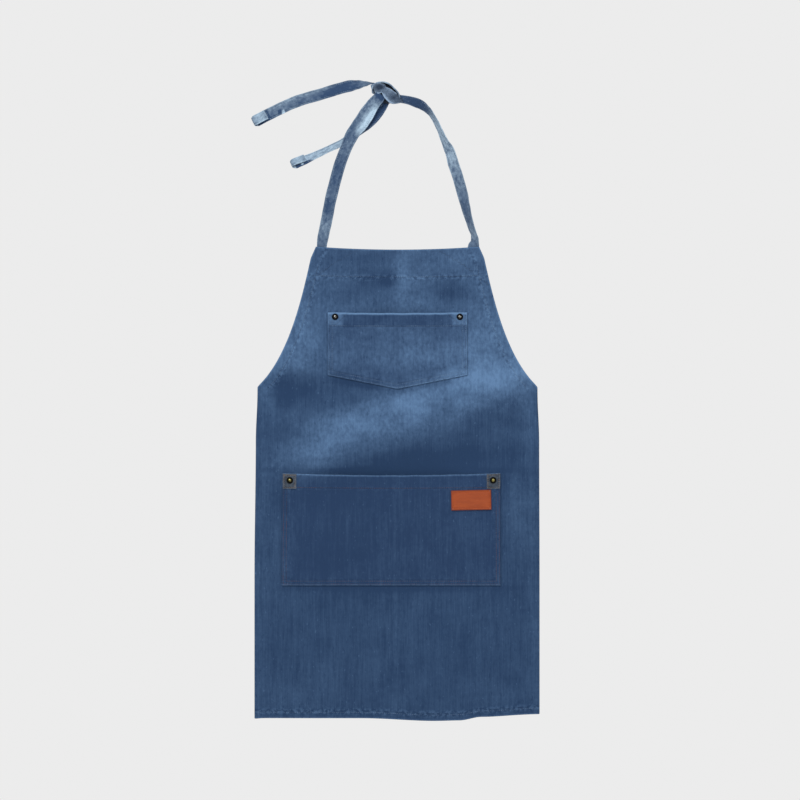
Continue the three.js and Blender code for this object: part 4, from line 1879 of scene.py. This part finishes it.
@dataclass
class Strap:
    """A flat doubled strap along a line."""

    name: str
    line: Spline | TurnedEnd
    cut: StrapCut = StrapCut()
    widths: Sequence[tuple[float, float]] = ((0.0, 1.0), (1.0, 1.0))
    tones: Sequence[tuple[float, float]] = ((0.0, 0.0), (1.0, 0.0))
    fades_and_painted_light: Sequence[StrapFadeAndPaintedLight] = ()
    finish: Finish = Finish.STRAP
    ruffle: float = 0.4
    drop: bool = False
    closed: tuple[bool, bool] = (True, True)
    step: float = 2.6

    def surface(self, run: float, across: float, through: float) -> Vector:
        """A place on the strap.

        Args:
            run: How far along it.
            across: -1 at one edge to 1 at the other.
            through: How far in front of its middle.

        Returns:
            The place.
        """
        at, _, wide, deep = self.line.frame(run)
        half = self.cut.width / 2 * level(self.widths, run / self.line.length)
        seed = sum(map(ord, self.name)) % 97
        calm = smoothstep(run, 0, 12) if self.drop or not self.closed[0] else 1.0
        calm *= 1.0 if self.closed[1] else smoothstep(self.line.length - run, 0, 12)
        wave = ripple(run, across * 4, seed, 13) * (0.35 + abs(across))
        wave += 0.5 * ripple(run, across * 9, seed, 6)
        sway = 0.35 * ripple(run, 50, seed, 16) * calm
        return at + wide * (across * (half + sway)) + deep * (through + self.ruffle * calm * wave)

    def build(self) -> bpy.types.Object:
        """Make the strap.

        Returns:
            The strap.
        """
        ring = self.cut.ring()
        length = self.line.length

        def spot(column: float, row: float) -> Spot:
            """The spot of a column and a row."""
            across, through = ring[int(column)]
            start = smoothstep(row, -0.6, 0.8) if self.closed[0] else 1.0
            end = smoothstep(length - row, -0.6, 0.8) if self.closed[1] else 1.0
            place = self.surface(row, across, through * min(start, end))
            if self.drop:
                place = self.hang(place)
            edge = (1 - abs(across)) * self.cut.width / 2
            tone = level(self.tones, row / length)
            tone += sum(patch.at(row / length, across) for patch in self.fades_and_painted_light)
            return Spot(place, (across * self.cut.width / 2, row), edge, edge - 2.4, tone)

        mesh = cloth_grid(range(len(ring)), spaced(0.0, length, self.step), spot)
        return link(self.name, close_tube(mesh), self.finish)

    @staticmethod
    def hang(point: Vector) -> Vector:
        """Let the part of a strap that is sewn to the bib hang with it."""
        share = smoothstep(-point.z, 225, 243)
        return point.lerp(DRAPE.moved(point), share)

    def sew(self, seams: Seams, body: str, area: str, skip: float = 3.0) -> None:
        """Add a row of stitches along each edge, on both faces.

        Args:
            seams: Where the rows go.
            body: The body that they ride on.
            area: The area's name.
            skip: How far from each end they stop.
        """
        runs = spaced(skip, self.line.length - skip, 3.0)
        out = self.line.frame(self.line.length / 2)[3]
        for across, lift, face in self.cut.stitched():
            row = [self.surface(run, across, lift) for run in runs]
            seams.sew(area, Finish.STRAP_THREAD, body, row, out * face)


def close_tube(mesh: bmesh.types.BMesh) -> bmesh.types.BMesh:
    """Join a wrapped grid's long edges and fill its two ends.

    Args:
        mesh: The grid.

    Returns:
        The closed tube.
    """
    bmesh.ops.remove_doubles(mesh, verts=mesh.verts, dist=1e-4)
    bmesh.ops.holes_fill(mesh, edges=[edge for edge in mesh.edges if edge.is_boundary], sides=0)
    bmesh.ops.recalc_face_normals(mesh, faces=mesh.faces)
    return mesh


@dataclass
class WaistTie(Sided):
    """A waist tie, sewn to its flap and folded on the slant to hang straight down behind."""

    sign: int
    seam_x: float = 170.4
    fold: float = 673.15  # X less Z along the slanted fold
    middle_z: float = -539.75
    layer: float = 3.2
    end_z: float = -1022.0
    radius: float = 0.7
    cut: StrapCut = StrapCut(width=22.0)

    @property
    def length(self) -> float:
        """The tie's whole length."""
        return self.seam_x - (self.fold + self.end_z)

    def surface(self, run: float, across: float, through: float) -> Vector:
        """A place on the tie.

        Args:
            run: How far along it from its seam.
            across: -1 at one edge to 1 at the other.
            through: How far in front of its middle.

        Returns:
            The place.
        """
        x, z = self.seam_x - run, self.middle_z + across * self.cut.width / 2
        past = (self.fold - (x - z)) / math.sqrt(2)
        angle = math.pi * min(max(past / (2 * self.radius) + 0.5, 0.0), 1.0)
        if past > 0:
            x, z = z + self.fold, x - self.fold
        out = self.radius * math.sin(angle)
        lift = self.radius * (1 - math.cos(angle)) - through * math.cos(angle)
        push = (out + through * math.sin(angle)) / math.sqrt(2)
        free = smoothstep(run, 60, 160)
        x += free * (1.6 * ripple(run, 0, self.sign * 31, 110) + 0.3 * ripple(run, 0, self.sign * 9, 18))
        y = self.layer + lift + free * 0.5 * ripple(run, across * 6, self.sign * 13, 14)
        return DRAPE.moved(Vector((self.sign * (x - push), y + 0.4 * free, z + push)))

    def build(self) -> bpy.types.Object:
        """Make the tie.

        Returns:
            The tie.
        """
        ring = self.cut.ring()
        runs = [*spaced(0, 24, 3), *spaced(24.5, 50, 0.5), *spaced(52.5, self.length, 2.8)]

        def spot(column: float, row: float) -> Spot:
            """The spot of a column and a row."""
            across, through = ring[int(column)]
            closing = min(smoothstep(row, -0.6, 0.8), smoothstep(self.length - row, -0.6, 0.8))
            edge = (1 - abs(across)) * self.cut.width / 2
            place = self.surface(row, across, through * closing)
            return Spot(place, (across * self.cut.width / 2, row), edge, edge - 2.4, 0.02)

        mesh = cloth_grid(range(len(ring)), runs, spot)
        return link(f"waist_tie_cloth_{self.side}", close_tube(mesh), Finish.STRAP)

    def sew(self, seams: Seams) -> None:
        """Add a row of stitches along each edge of the hanging part, on both faces.

        Args:
            seams: Where the rows go.
        """
        runs = spaced(60, self.length - 3, 3.0)
        for across, lift, face in self.cut.stitched():
            row = [self.surface(run, across, lift) for run in runs]
            seams.sew(
                f"tie_{self.side}", Finish.STRAP_THREAD, f"{self.side}_tie", row, Vector((0, face, 0))
            )


@dataclass
class Knot:
    """The knot: a lobe on its left, a band across its front, an arch over it and its core in near-black
    painted shade.
    """

    wide: StrapCut = StrapCut(width=19.0, middle=0.9, groove=0.8, bead=1.0)

    def straps(self) -> list[Strap]:
        """The straps that show in the knot.

        Returns:
            The straps.
        """
        return [
            Strap(
                "knot_left_lobe",
                Spline([
                    (-21, -5.0, 27, -20), (-26, -8.8, 26.4, -22), (-32, -9.8, 26.2, -22),
                    (-37.8, -7.4, 26.2, -22), (-40.6, -1, 26, -20), (-38, 5.5, 25, -14), (-31, 8.6, 23.5, -8),
                    (-20, 8.4, 20, 0),
                ]),
                self.wide, ((0, 0.55), (0.12, 0.85), (0.25, 1.05), (0.4, 0.8), (0.6, 0.9), (1, 0.9)),
                ((0, 0.1), (0.3, 0.0), (0.45, 0.2), (1, 0.1)),
                (StrapFadeAndPaintedLight(0.22, -1.0, 0.3, 0.5, 0.35), StrapFadeAndPaintedLight(0.2, 0.25, 0.08, 0.35, -0.5)),
                Finish.KNOT, 1.1,
            ),
            Strap(
                "knot_front_band",
                Spline([
                    (-28, 2, 27, 20), (-24.5, -6, 24.8, 8), (-17.5, -11, 18.4, 0), (-9.8, -11.6, 11.0, 0),
                    (-2.5, -9, 7.8, 0), (3.5, -5, 7.9, -12), (8, -2, 8.2, -20),
                ]),
                self.wide, ((0, 0.45), (0.2, 0.66), (0.45, 1.0), (0.65, 1.1), (0.85, 0.75), (1, 0.66)),
                ((0, 0.1), (0.3, 0.2), (0.7, 0.0), (1, -0.15)),
                (StrapFadeAndPaintedLight(0.5, 0.85, 0.25, 0.25, 0.35), StrapFadeAndPaintedLight(0.62, -0.1, 0.1, 0.35, -0.15)),
                Finish.KNOT, 0.8,
            ),
            Strap(
                "knot_arch",
                Spline([
                    (-43, 0, 24, 90), (-41.5, -1, 30.5, 90), (-35, -1.5, 35.4, 90), (-25, -2, 36.6, 90),
                    (-14, -2, 33.4, 90), (-5, -2, 25.6, 90), (1.6, -1.5, 17.5, 90), (4.2, -1, 9.5, 90),
                ]),
                StrapCut(width=17.0, middle=1.0, groove=0.9, bead=1.1),
                ((0, 0.6), (0.3, 1.0), (0.7, 1.0), (1, 0.6)), ((0, 0.3), (0.4, 0.5), (0.7, 0.2), (1, 0.0)), (),
                Finish.STRAP, 0.3,
            ),
            Strap(
                "knot_under_band",
                Spline([
                    (6, 2, 8, -20), (-2, 5.5, 12, -8), (-12, 8.2, 12, 0), (-24, 8.8, 8, 0), (-33, 5, 4, 0),
                ]),
                self.wide, ((0, 0.7), (1, 0.9)), ((0, -0.1), (1, 0.0)), (), Finish.KNOT, 0.6,
            ),
        ]

    def core(self) -> bpy.types.Object:
        """Make the folds inside the knot, near black: painted shade between the straps.

        Returns:
            The core.
        """
        mesh = bmesh.new()
        bmesh.ops.create_icosphere(mesh, subdivisions=4, radius=1)
        for vert in mesh.verts:
            crease = 1 + 0.12 * ripple(vert.co.x, vert.co.y * 2, vert.co.z * 2, 0.6)
            vert.co = Vector((vert.co.x * 21.0, vert.co.y * 6.4, vert.co.z * 15.5)) * crease
        turn = Matrix.Rotation(math.radians(30), 3, "Y")
        bmesh.ops.transform(mesh, matrix=turn.to_4x4(), verts=mesh.verts)
        bmesh.ops.translate(mesh, vec=(-18.5, 1.0, 18.2), verts=mesh.verts)
        return link("knot_core", mesh, Finish.SHADE)


def main() -> None:
    """Build the apron piece by piece, then the floor, lights and camera."""
    logging.basicConfig(level=logging.INFO, format="%(message)s")
    seams = Seams()
    hang_body(Apron(), seams)
    hang_pockets(seams)
    hang_straps(seams)
    for item, body in seams.build():
        settle(item, body, "denim_body")
    studio()


@dataclass(frozen=True)
class Sheet:
    """How a sheet was cut, and how it is held."""

    size: tuple[float, float]  # its width and length in millimetres
    held: str = "hung"
    on: tuple[str, ...] = ()  # what it hangs from or lies on
    area: float | None = None  # in square millimetres, if it isn't a rectangle


def settle(
    item: bpy.types.Object, body: str, slot: str, *nodes: str, sheet: Sheet | None = None
) -> None:
    """Put a piece on its body, and hide the CAD parts that it stands for.

    Args:
        item: The piece.
        body: The body that it rides on.
        slot: The material slot that it takes its finish from; not used.
        nodes: The CAD nodes that it replaces.
        sheet: How it was cut, if it is a sheet.
    """
    apply_modifiers(item)
    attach(item, body)
    describe(item, slot, *nodes, sheet=sheet)
    LOG.info("%s rides on %s", item.name, body)


def describe(item: bpy.types.Object, slot: str, *nodes: str, sheet: Sheet | None = None) -> None:
    """Hide the CAD parts that a piece stands for.

    Args:
        item: The piece; not used.
        slot: The material slot that it takes its finish from; not used.
        nodes: The CAD nodes that it replaces.
        sheet: How it was cut, if it is a sheet.
    """
    if nodes:
        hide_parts(*nodes)
    if sheet:
        list(sheet.on)


def bend(item: bpy.types.Object, near: str, far: str, start: Vector, end: Vector) -> bpy.types.Object:
    """Apply a finished piece's modifiers, bake its transform, and log the two bodies that it lies between.

    Args:
        item: The piece.
        near: The body before start.
        far: The body after end.
        start: Where the bend starts, in millimetres; not used.
        end: Where it ends; not used.

    Returns:
        The piece.
    """
    apply_modifiers(item)
    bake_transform(item)
    LOG.info("%s bends from %s to %s", item.name, near, far)
    return item


def hang_body(apron: Apron, seams: Seams) -> None:
    """Build the body panel, its hems and its folded sides.

    Args:
        apron: The body's sizes.
        seams: Where its stitching goes.
    """

    def hem(item: bpy.types.Object, body: str, node: str, size: tuple[float, float], on: str) -> None:
        """Put a hem on its body, folded on a panel."""
        settle(item, body, "denim_body", node, sheet=Sheet(size, "folded", (on,)))

    settle(apron.panel(), "apron", "denim_body", "body_panel", sheet=Sheet((481, 800), area=331000))
    hem(apron.facing_band(), "apron", "bib_facing", (250, 50), "body_panel")
    hem(apron.hem_band(), "apron", "bottom_hem", (480, 11), "body_panel")
    for sign, side in SIDES.items():
        hem(apron.armhole_band(sign), "apron", f"armhole_hem_{side}", (16, 275), "body_panel")
        flap = Flap(apron, sign)
        fold = Vector((sign * apron.fold_x, 0.3, -700))
        panel = bend(flap.panel(), "apron", f"{side}_flap", fold, fold + Vector((-sign * 0.8, 5.4, 0)))
        describe(panel, "denim_body", f"side_flap_{side}", sheet=Sheet((100, 555), "folded", area=54000))
        for (node, item), size in zip(flap.hems().items(), ((16, 90), (14, 490), (11, 88))):
            hem(item, f"{side}_flap", node, size, f"side_flap_{side}")
        flap.sew(seams)
    apron.sew(seams)


def hang_pockets(seams: Seams) -> None:
    """Build the pockets with their patches, label and rivets.

    Args:
        seams: Where their stitching goes.
    """
    chest = Pocket(
        "chest_pocket", 0, -354.5, 236, 106, 23.5, 24, 8, 24, Finish.BLUE_THREAD, Finish.BLUE_THREAD,
        lip_wear_and_highlight=0.95, side_cover=0.9, hem_fade=-0.16, corner_fade=0.42,
    )
    front = Pocket(
        "front_pocket", -10, -628, 369, 190, 0, 25, 10, 30, Finish.RUST_THREAD, Finish.RUST_THREAD,
        sag=3.6, lip_wear_and_highlight=0.2, side_cover=2.0,
    )
    for pocket in (chest, front):
        area = pocket.width * (pocket.height + pocket.point / 2)
        cut = Sheet((pocket.width, pocket.height + pocket.point), "hung", ("body_panel",), area)
        settle(pocket.panel(), "apron", "denim_pocket", pocket.name, sheet=cut)
        for node, item in pocket.inside().items():
            settle(item, "apron", "denim_pocket", node)
        pocket.sew(seams)
    for sign, side in SIDES.items():
        patch = CornerPatch(front, sign)
        cut = Sheet((patch.width, patch.height), "stretched", ("front_pocket",))
        settle(patch.build(), "apron", "patch_cloth", f"corner_patch_{side}", sheet=cut)
        patch.sew(seams)
    label = Label(front)
    settle(label.build(), "apron", "label_leather", "leather_label")
    label.sew(seams)
    for sign, side in SIDES.items():
        for kind, pocket, drop, face, finish, slot in (
            ("chest", chest, 7, -3.9, Finish.NICKEL, "silver_rivet"),
            ("front", front, 11, -5.2, Finish.BRASS, "antique_rivet"),
        ):
            x = pocket.x + sign * (pocket.width / 2 - 12)
            rivet = Rivet(f"{kind}_{side}", x, pocket.mouth - drop, face, finish, pocket)
            settle(rivet.cap(), "apron", slot, f"rivet_{kind}_{side}")
            settle(rivet.burr(), "apron", slot, f"burr_{kind}_{side}")


def hang_straps(seams: Seams) -> None:
    """Build the neck straps, the knot, the tails and the waist ties.

    Args:
        seams: Where their stitching goes.
    """
    left = Strap(
        "neck_strap_cloth_left",
        Spline([
            (-126, 3.0, -268, 0), (-128.5, 3.0, -253, 0), (-128.5, 3.0, -238, 0), (-119.9, 1.4, -194.4, 0),
            (-113.9, 0.6, -163.2, 0), (-106.3, 0, -132.6, 4), (-97.8, 0, -102, 8), (-88, 0, -76.5, 8),
            (-76.3, 0, -51, 4), (-61, 0, -30.6, 0), (-48, -1.5, -10.2, 0), (-38.8, -4, 2.5, 0),
            (-31, -6.5, 11, 0), (-28, -7, 16, 0),
        ]),
        widths=((0, 1), (0.09, 0.85), (0.15, 0.93), (0.25, 0.98), (0.56, 0.98), (0.65, 1.0), (0.74, 1.15),
                (0.81, 1.28), (0.86, 1.28), (0.92, 1.12), (0.97, 1.0), (1, 0.9)),
        tones=((0, 0.1), (0.1, 0.08), (0.16, 0.15), (0.2, 0.25), (0.24, 0.1), (0.28, -0.1), (0.33, -0.15),
               (0.375, 0.0), (0.42, -0.08), (0.47, 0.0), (0.52, -0.1), (0.58, -0.05), (0.62, 0.08),
               (0.75, 0.05), (0.86, 0.15), (0.93, 0.3), (1, 0.1)),
        fades_and_painted_light=(
            # The first two are painted light on a facet that faces the light where the strap turns near the
            # knot; the last is painted shade at its top end, under the knot.
            StrapFadeAndPaintedLight(0.83, 0.5, 0.08, 0.5, 1.3), StrapFadeAndPaintedLight(0.89, 0.72, 0.05, 0.3, 0.7),
            StrapFadeAndPaintedLight(0.77, -0.6, 0.1, 0.5, -0.1), StrapFadeAndPaintedLight(1.0, 0.0, 0.03, 1.5, -0.5),
        ),
        drop=True,
    )
    right = Strap(
        "neck_strap_cloth_right",
        Spline([
            (126, 3.0, -268, 0), (128.5, 3.0, -253, 0), (129.0, 3.0, -243, 0), (131.5, 3.0, -232, -48),
            (129.5, 2.6, -220, -62), (126.0, 2.2, -211, -58), (120.8, 1, -194.4, -54),
            (115.6, 0, -173.5, -42),
            (110.5, 0, -153, -26), (102, -1, -122.4, -22), (95.1, -1, -102, -22), (89.3, -1, -81.6, -34),
            (79, -1, -61.2, -58), (70.5, 0, -40.8, -68), (59.5, 0, -20.4, -70), (50.6, 0, -9.4, -58),
            (41, 0, -1.8, -46), (31, 0, 2.5, -40), (19, 0, 6.3, -38), (5, -2, 8.6, -34),
        ]),
        widths=((0, 1), (0.1, 0.95), (0.3, 1), (0.9, 1), (1, 0.75)),
        tones=((0, 0.1), (0.1, 0.12), (0.14, 0.42), (0.18, 0.22), (0.24, 0.0), (0.31, -0.05), (0.37, 0.08),
               (0.45, 0.25), (0.53, 0.42), (0.57, 0.75), (0.615, 0.45), (0.66, 0.75), (0.72, 0.85),
               (0.78, 0.7), (0.81, 0.35), (0.85, -0.05), (0.9, -0.25), (1, -0.15)),
        drop=True,
    )
    for strap, side in ((left, "left"), (right, "right")):
        item = bend(strap.build(), "neck_loop", "apron", Vector((0, 0, -235)), Vector((0, 0, -251)))
        cut = Sheet((strap.cut.width, strap.line.length))
        describe(item, "denim_strap", f"neck_strap_{side}", f"strap_foot_{side}", sheet=cut)
        strap.sew(seams, "neck_loop", f"neck_strap_{side}", 34.0)
    hang_knot()
    hang_tails(seams)
    for sign, side in SIDES.items():
        tie = WaistTie(sign)
        start, end = Vector((0, 0, -546)), Vector((0, 0, -562))
        item = bend(tie.build(), f"{side}_flap", f"{side}_tie", start, end)
        cut = Sheet((tie.cut.width, tie.length))
        describe(item, "denim_strap", f"waist_tie_{side}", f"waist_tie_tab_{side}", sheet=cut)
        tie.sew(seams)


def hang_knot() -> None:
    """Build the knot."""
    knot = Knot()
    settle(knot.core(), "neck_loop", "denim_strap", "neck_knot")
    for strap in knot.straps():
        cut = Sheet((strap.cut.width, strap.line.length), "gathered", ("neck_knot",))
        settle(strap.build(), "neck_loop", "denim_strap", sheet=cut)


def hang_tails(seams: Seams) -> None:
    """Build the two tails with their turned-back ends.

    Args:
        seams: Where their stitching goes.
    """
    upper = Spline([
        (-26, 2, 31, 0), (-44, 1, 35.2, 0), (-54, 1, 34.6, 3), (-67, 2, 33.2, 6), (-89, 2, 29.2, 8),
        (-129, 1, 17.2, 6), (-172, 0, 4.2, 0), (-216, 0, -16, 0), (-240, 0, -28.6, 0),
    ])
    low_points = [
        (-18, 12, 0), (-26, -4, 10), (-36.5, -19, 20), (-49, -32, 24), (-66, -45, 28), (-94.4, -64.6, 38),
        (-122, -77.6, 42), (-149, -90.5, 34), (-175, -101.5, 24),
    ]
    lower = Spline([(x, 10 * math.sin(math.radians(roll)) + 5.2, z, roll) for x, z, roll in low_points])
    for place, line, rise, pad, widths, tones, fades_and_painted_light in (
        ("upper", upper, 1.6, 0.84,
         ((0, 0.25), (0.08, 0.16), (0.127, 0.45), (0.184, 0.78), (0.25, 1), (1, 1)),
         ((0, -0.2), (0.1, 0.15), (0.15, 0.15), (0.2, -0.1), (0.29, -0.22), (0.36, -0.22), (0.44, -0.16),
          (0.52, -0.02), (0.6, 0.06), (0.75, 0.14), (1, 0.12)),
         (StrapFadeAndPaintedLight(0.6, 0.8, 0.25, 0.35, 0.35), StrapFadeAndPaintedLight(0.6, -0.8, 0.4, 0.45, -0.1),
          # A dark spot, with a painted white glint beside it.
          StrapFadeAndPaintedLight(0.81, -0.5, 0.014, 0.3, -0.7), StrapFadeAndPaintedLight(0.788, -0.75, 0.01, 0.25, 1.8),
          # Painted shade in the open fold under the turned end, and a painted shadow line cast by the turned
          # end's edge.
          StrapFadeAndPaintedLight(0.97, -1.0, 0.08, 0.45, -1.0), StrapFadeAndPaintedLight(0.9, 0, 0.008, 1.2, -0.4))),
        ("lower", lower, 1.8, 0.66,
         ((0, 0.8), (0.25, 0.95), (0.45, 0.85), (0.6, 0.76), (0.8, 0.78), (0.9, 0.9), (1, 0.92)),
         ((0, -0.25), (0.3, -0.25), (0.42, 0.2), (0.5, 0.8), (1, 0.9)),
         # Painted shade inside the turned end's open loop, with a painted highlight on its lit edge.
         (StrapFadeAndPaintedLight(0.955, -0.9, 0.09, 0.5, -2.6), StrapFadeAndPaintedLight(0.94, -0.7, 0.02, 0.25, 2.6),
          StrapFadeAndPaintedLight(0.47, -0.5, 0.012, 0.4, -0.6))),
    ):
        body = f"{place}_tail"
        strap = Strap(
            f"strap_tail_cloth_{place}", line, widths=widths, tones=tones, fades_and_painted_light=fades_and_painted_light, closed=(True, False)
        )
        item = bend(strap.build(), "neck_loop", body, line.frame(2.0)[0], line.frame(19.0)[0])
        width = strap.cut.width
        describe(item, "denim_strap", f"strap_tail_{place}", sheet=Sheet((width, line.length)))
        strap.sew(seams, body, f"tail_{place}", 22.0)
        last = widths[-1][1]
        turned = TurnedEnd(line, rise)
        end = Strap(
            f"tail_end_cloth_{place}", turned,
            widths=((0, last), (0.12, pad * 0.96), (0.24, pad * 0.8), (0.4, pad), (1, pad)),
            tones=((0, tones[-1][1]), (0.2, 0.55), (0.6, 0.9), (1, 0.75)),
            fades_and_painted_light=(StrapFadeAndPaintedLight(0.93, 0, 0.02, 1.2, -0.35), StrapFadeAndPaintedLight(0.84, 0, 0.02, 1.2, -0.25)),
            closed=(False, True), ruffle=0.6,
        )
        cut = Sheet((width, turned.length), "folded", (f"strap_tail_{place}",))
        settle(end.build(), body, "denim_strap", f"tail_end_fold_{place}", sheet=cut)


def studio() -> None:
    """Make the floor, the lights, the world and the camera."""
    scene = bpy.context.scene
    scene.view_settings.view_transform = "Standard"
    mesh = bmesh.new()
    bmesh.ops.create_circle(mesh, cap_ends=True, cap_tris=False, segments=96, radius=3200)
    bmesh.ops.translate(mesh, vec=(4, 0, -1640), verts=mesh.verts)
    bmesh.ops.scale(mesh, vec=(MM, MM, MM), verts=mesh.verts)
    data = bpy.data.meshes.new("floor")
    mesh.to_mesh(data)
    mesh.free()
    material, graph, shader = start_material("pale_floor")
    where = graph.where()
    cloud = graph.noise(where, 3.0, 3.0)
    floor_colour = graph.mix(cloud, (0.70, 0.70, 0.70, 1), (0.78, 0.78, 0.78, 1))
    graph.feed(shader.inputs["Base Color"], floor_colour)
    shader.inputs["Roughness"].default_value = 0.9
    data.materials.append(material)
    floor = bpy.data.objects.new("floor", data)
    scene.collection.objects.link(floor)

    for name, place, size, power, aim in (
        ("key", (-0.9, -2.6, 1.5), 1.8, 62.0, (0, 0, -0.5)),
        ("fill", (1.9, -2.4, -0.2), 2.2, 14.0, (0, 0, -0.5)),
        ("back", (0.6, 2.6, 0.9), 2.0, 40.0, (0, 0, -0.5)),
    ):
        lamp = bpy.data.lights.new(name, "AREA")
        lamp.shape, lamp.size, lamp.energy = "DISK", size, power
        item = bpy.data.objects.new(name, lamp)
        item.location = place
        item.rotation_euler = (Vector(aim) - Vector(place)).to_track_quat("-Z", "Y").to_euler()
        scene.collection.objects.link(item)

    world = bpy.data.worlds.new("studio")
    world.use_nodes = True
    scene.world = world
    graph = Graph(world.node_tree)
    shown = world.node_tree.nodes["Background"]
    shown.inputs["Color"].default_value = (0.838, 0.838, 0.838, 1)
    shown.inputs["Strength"].default_value = 1.0
    cast = graph.add("ShaderNodeBackground")
    cast.inputs["Color"].default_value = (0.93, 0.96, 1.0, 1)
    cast.inputs["Strength"].default_value = 0.38
    mix = graph.add("ShaderNodeMixShader")
    graph.feed(mix.inputs[0], graph.add("ShaderNodeLightPath").outputs["Is Camera Ray"])
    graph.feed(mix.inputs[1], cast.outputs[0])
    graph.feed(mix.inputs[2], shown.outputs[0])
    graph.feed(world.node_tree.nodes["World Output"].inputs[0], mix.outputs[0])

    camera = bpy.data.cameras.new("camera")
    camera.lens, camera.sensor_width = 158.8, 36.0
    camera.clip_end = 50
    item = bpy.data.objects.new("camera", camera)
    item.location = (0.00425, -6.0, -0.5032)
    item.rotation_euler = (math.radians(90), 0, 0)
    scene.collection.objects.link(item)
    scene.camera = item


if __name__ == "__main__":
    main()
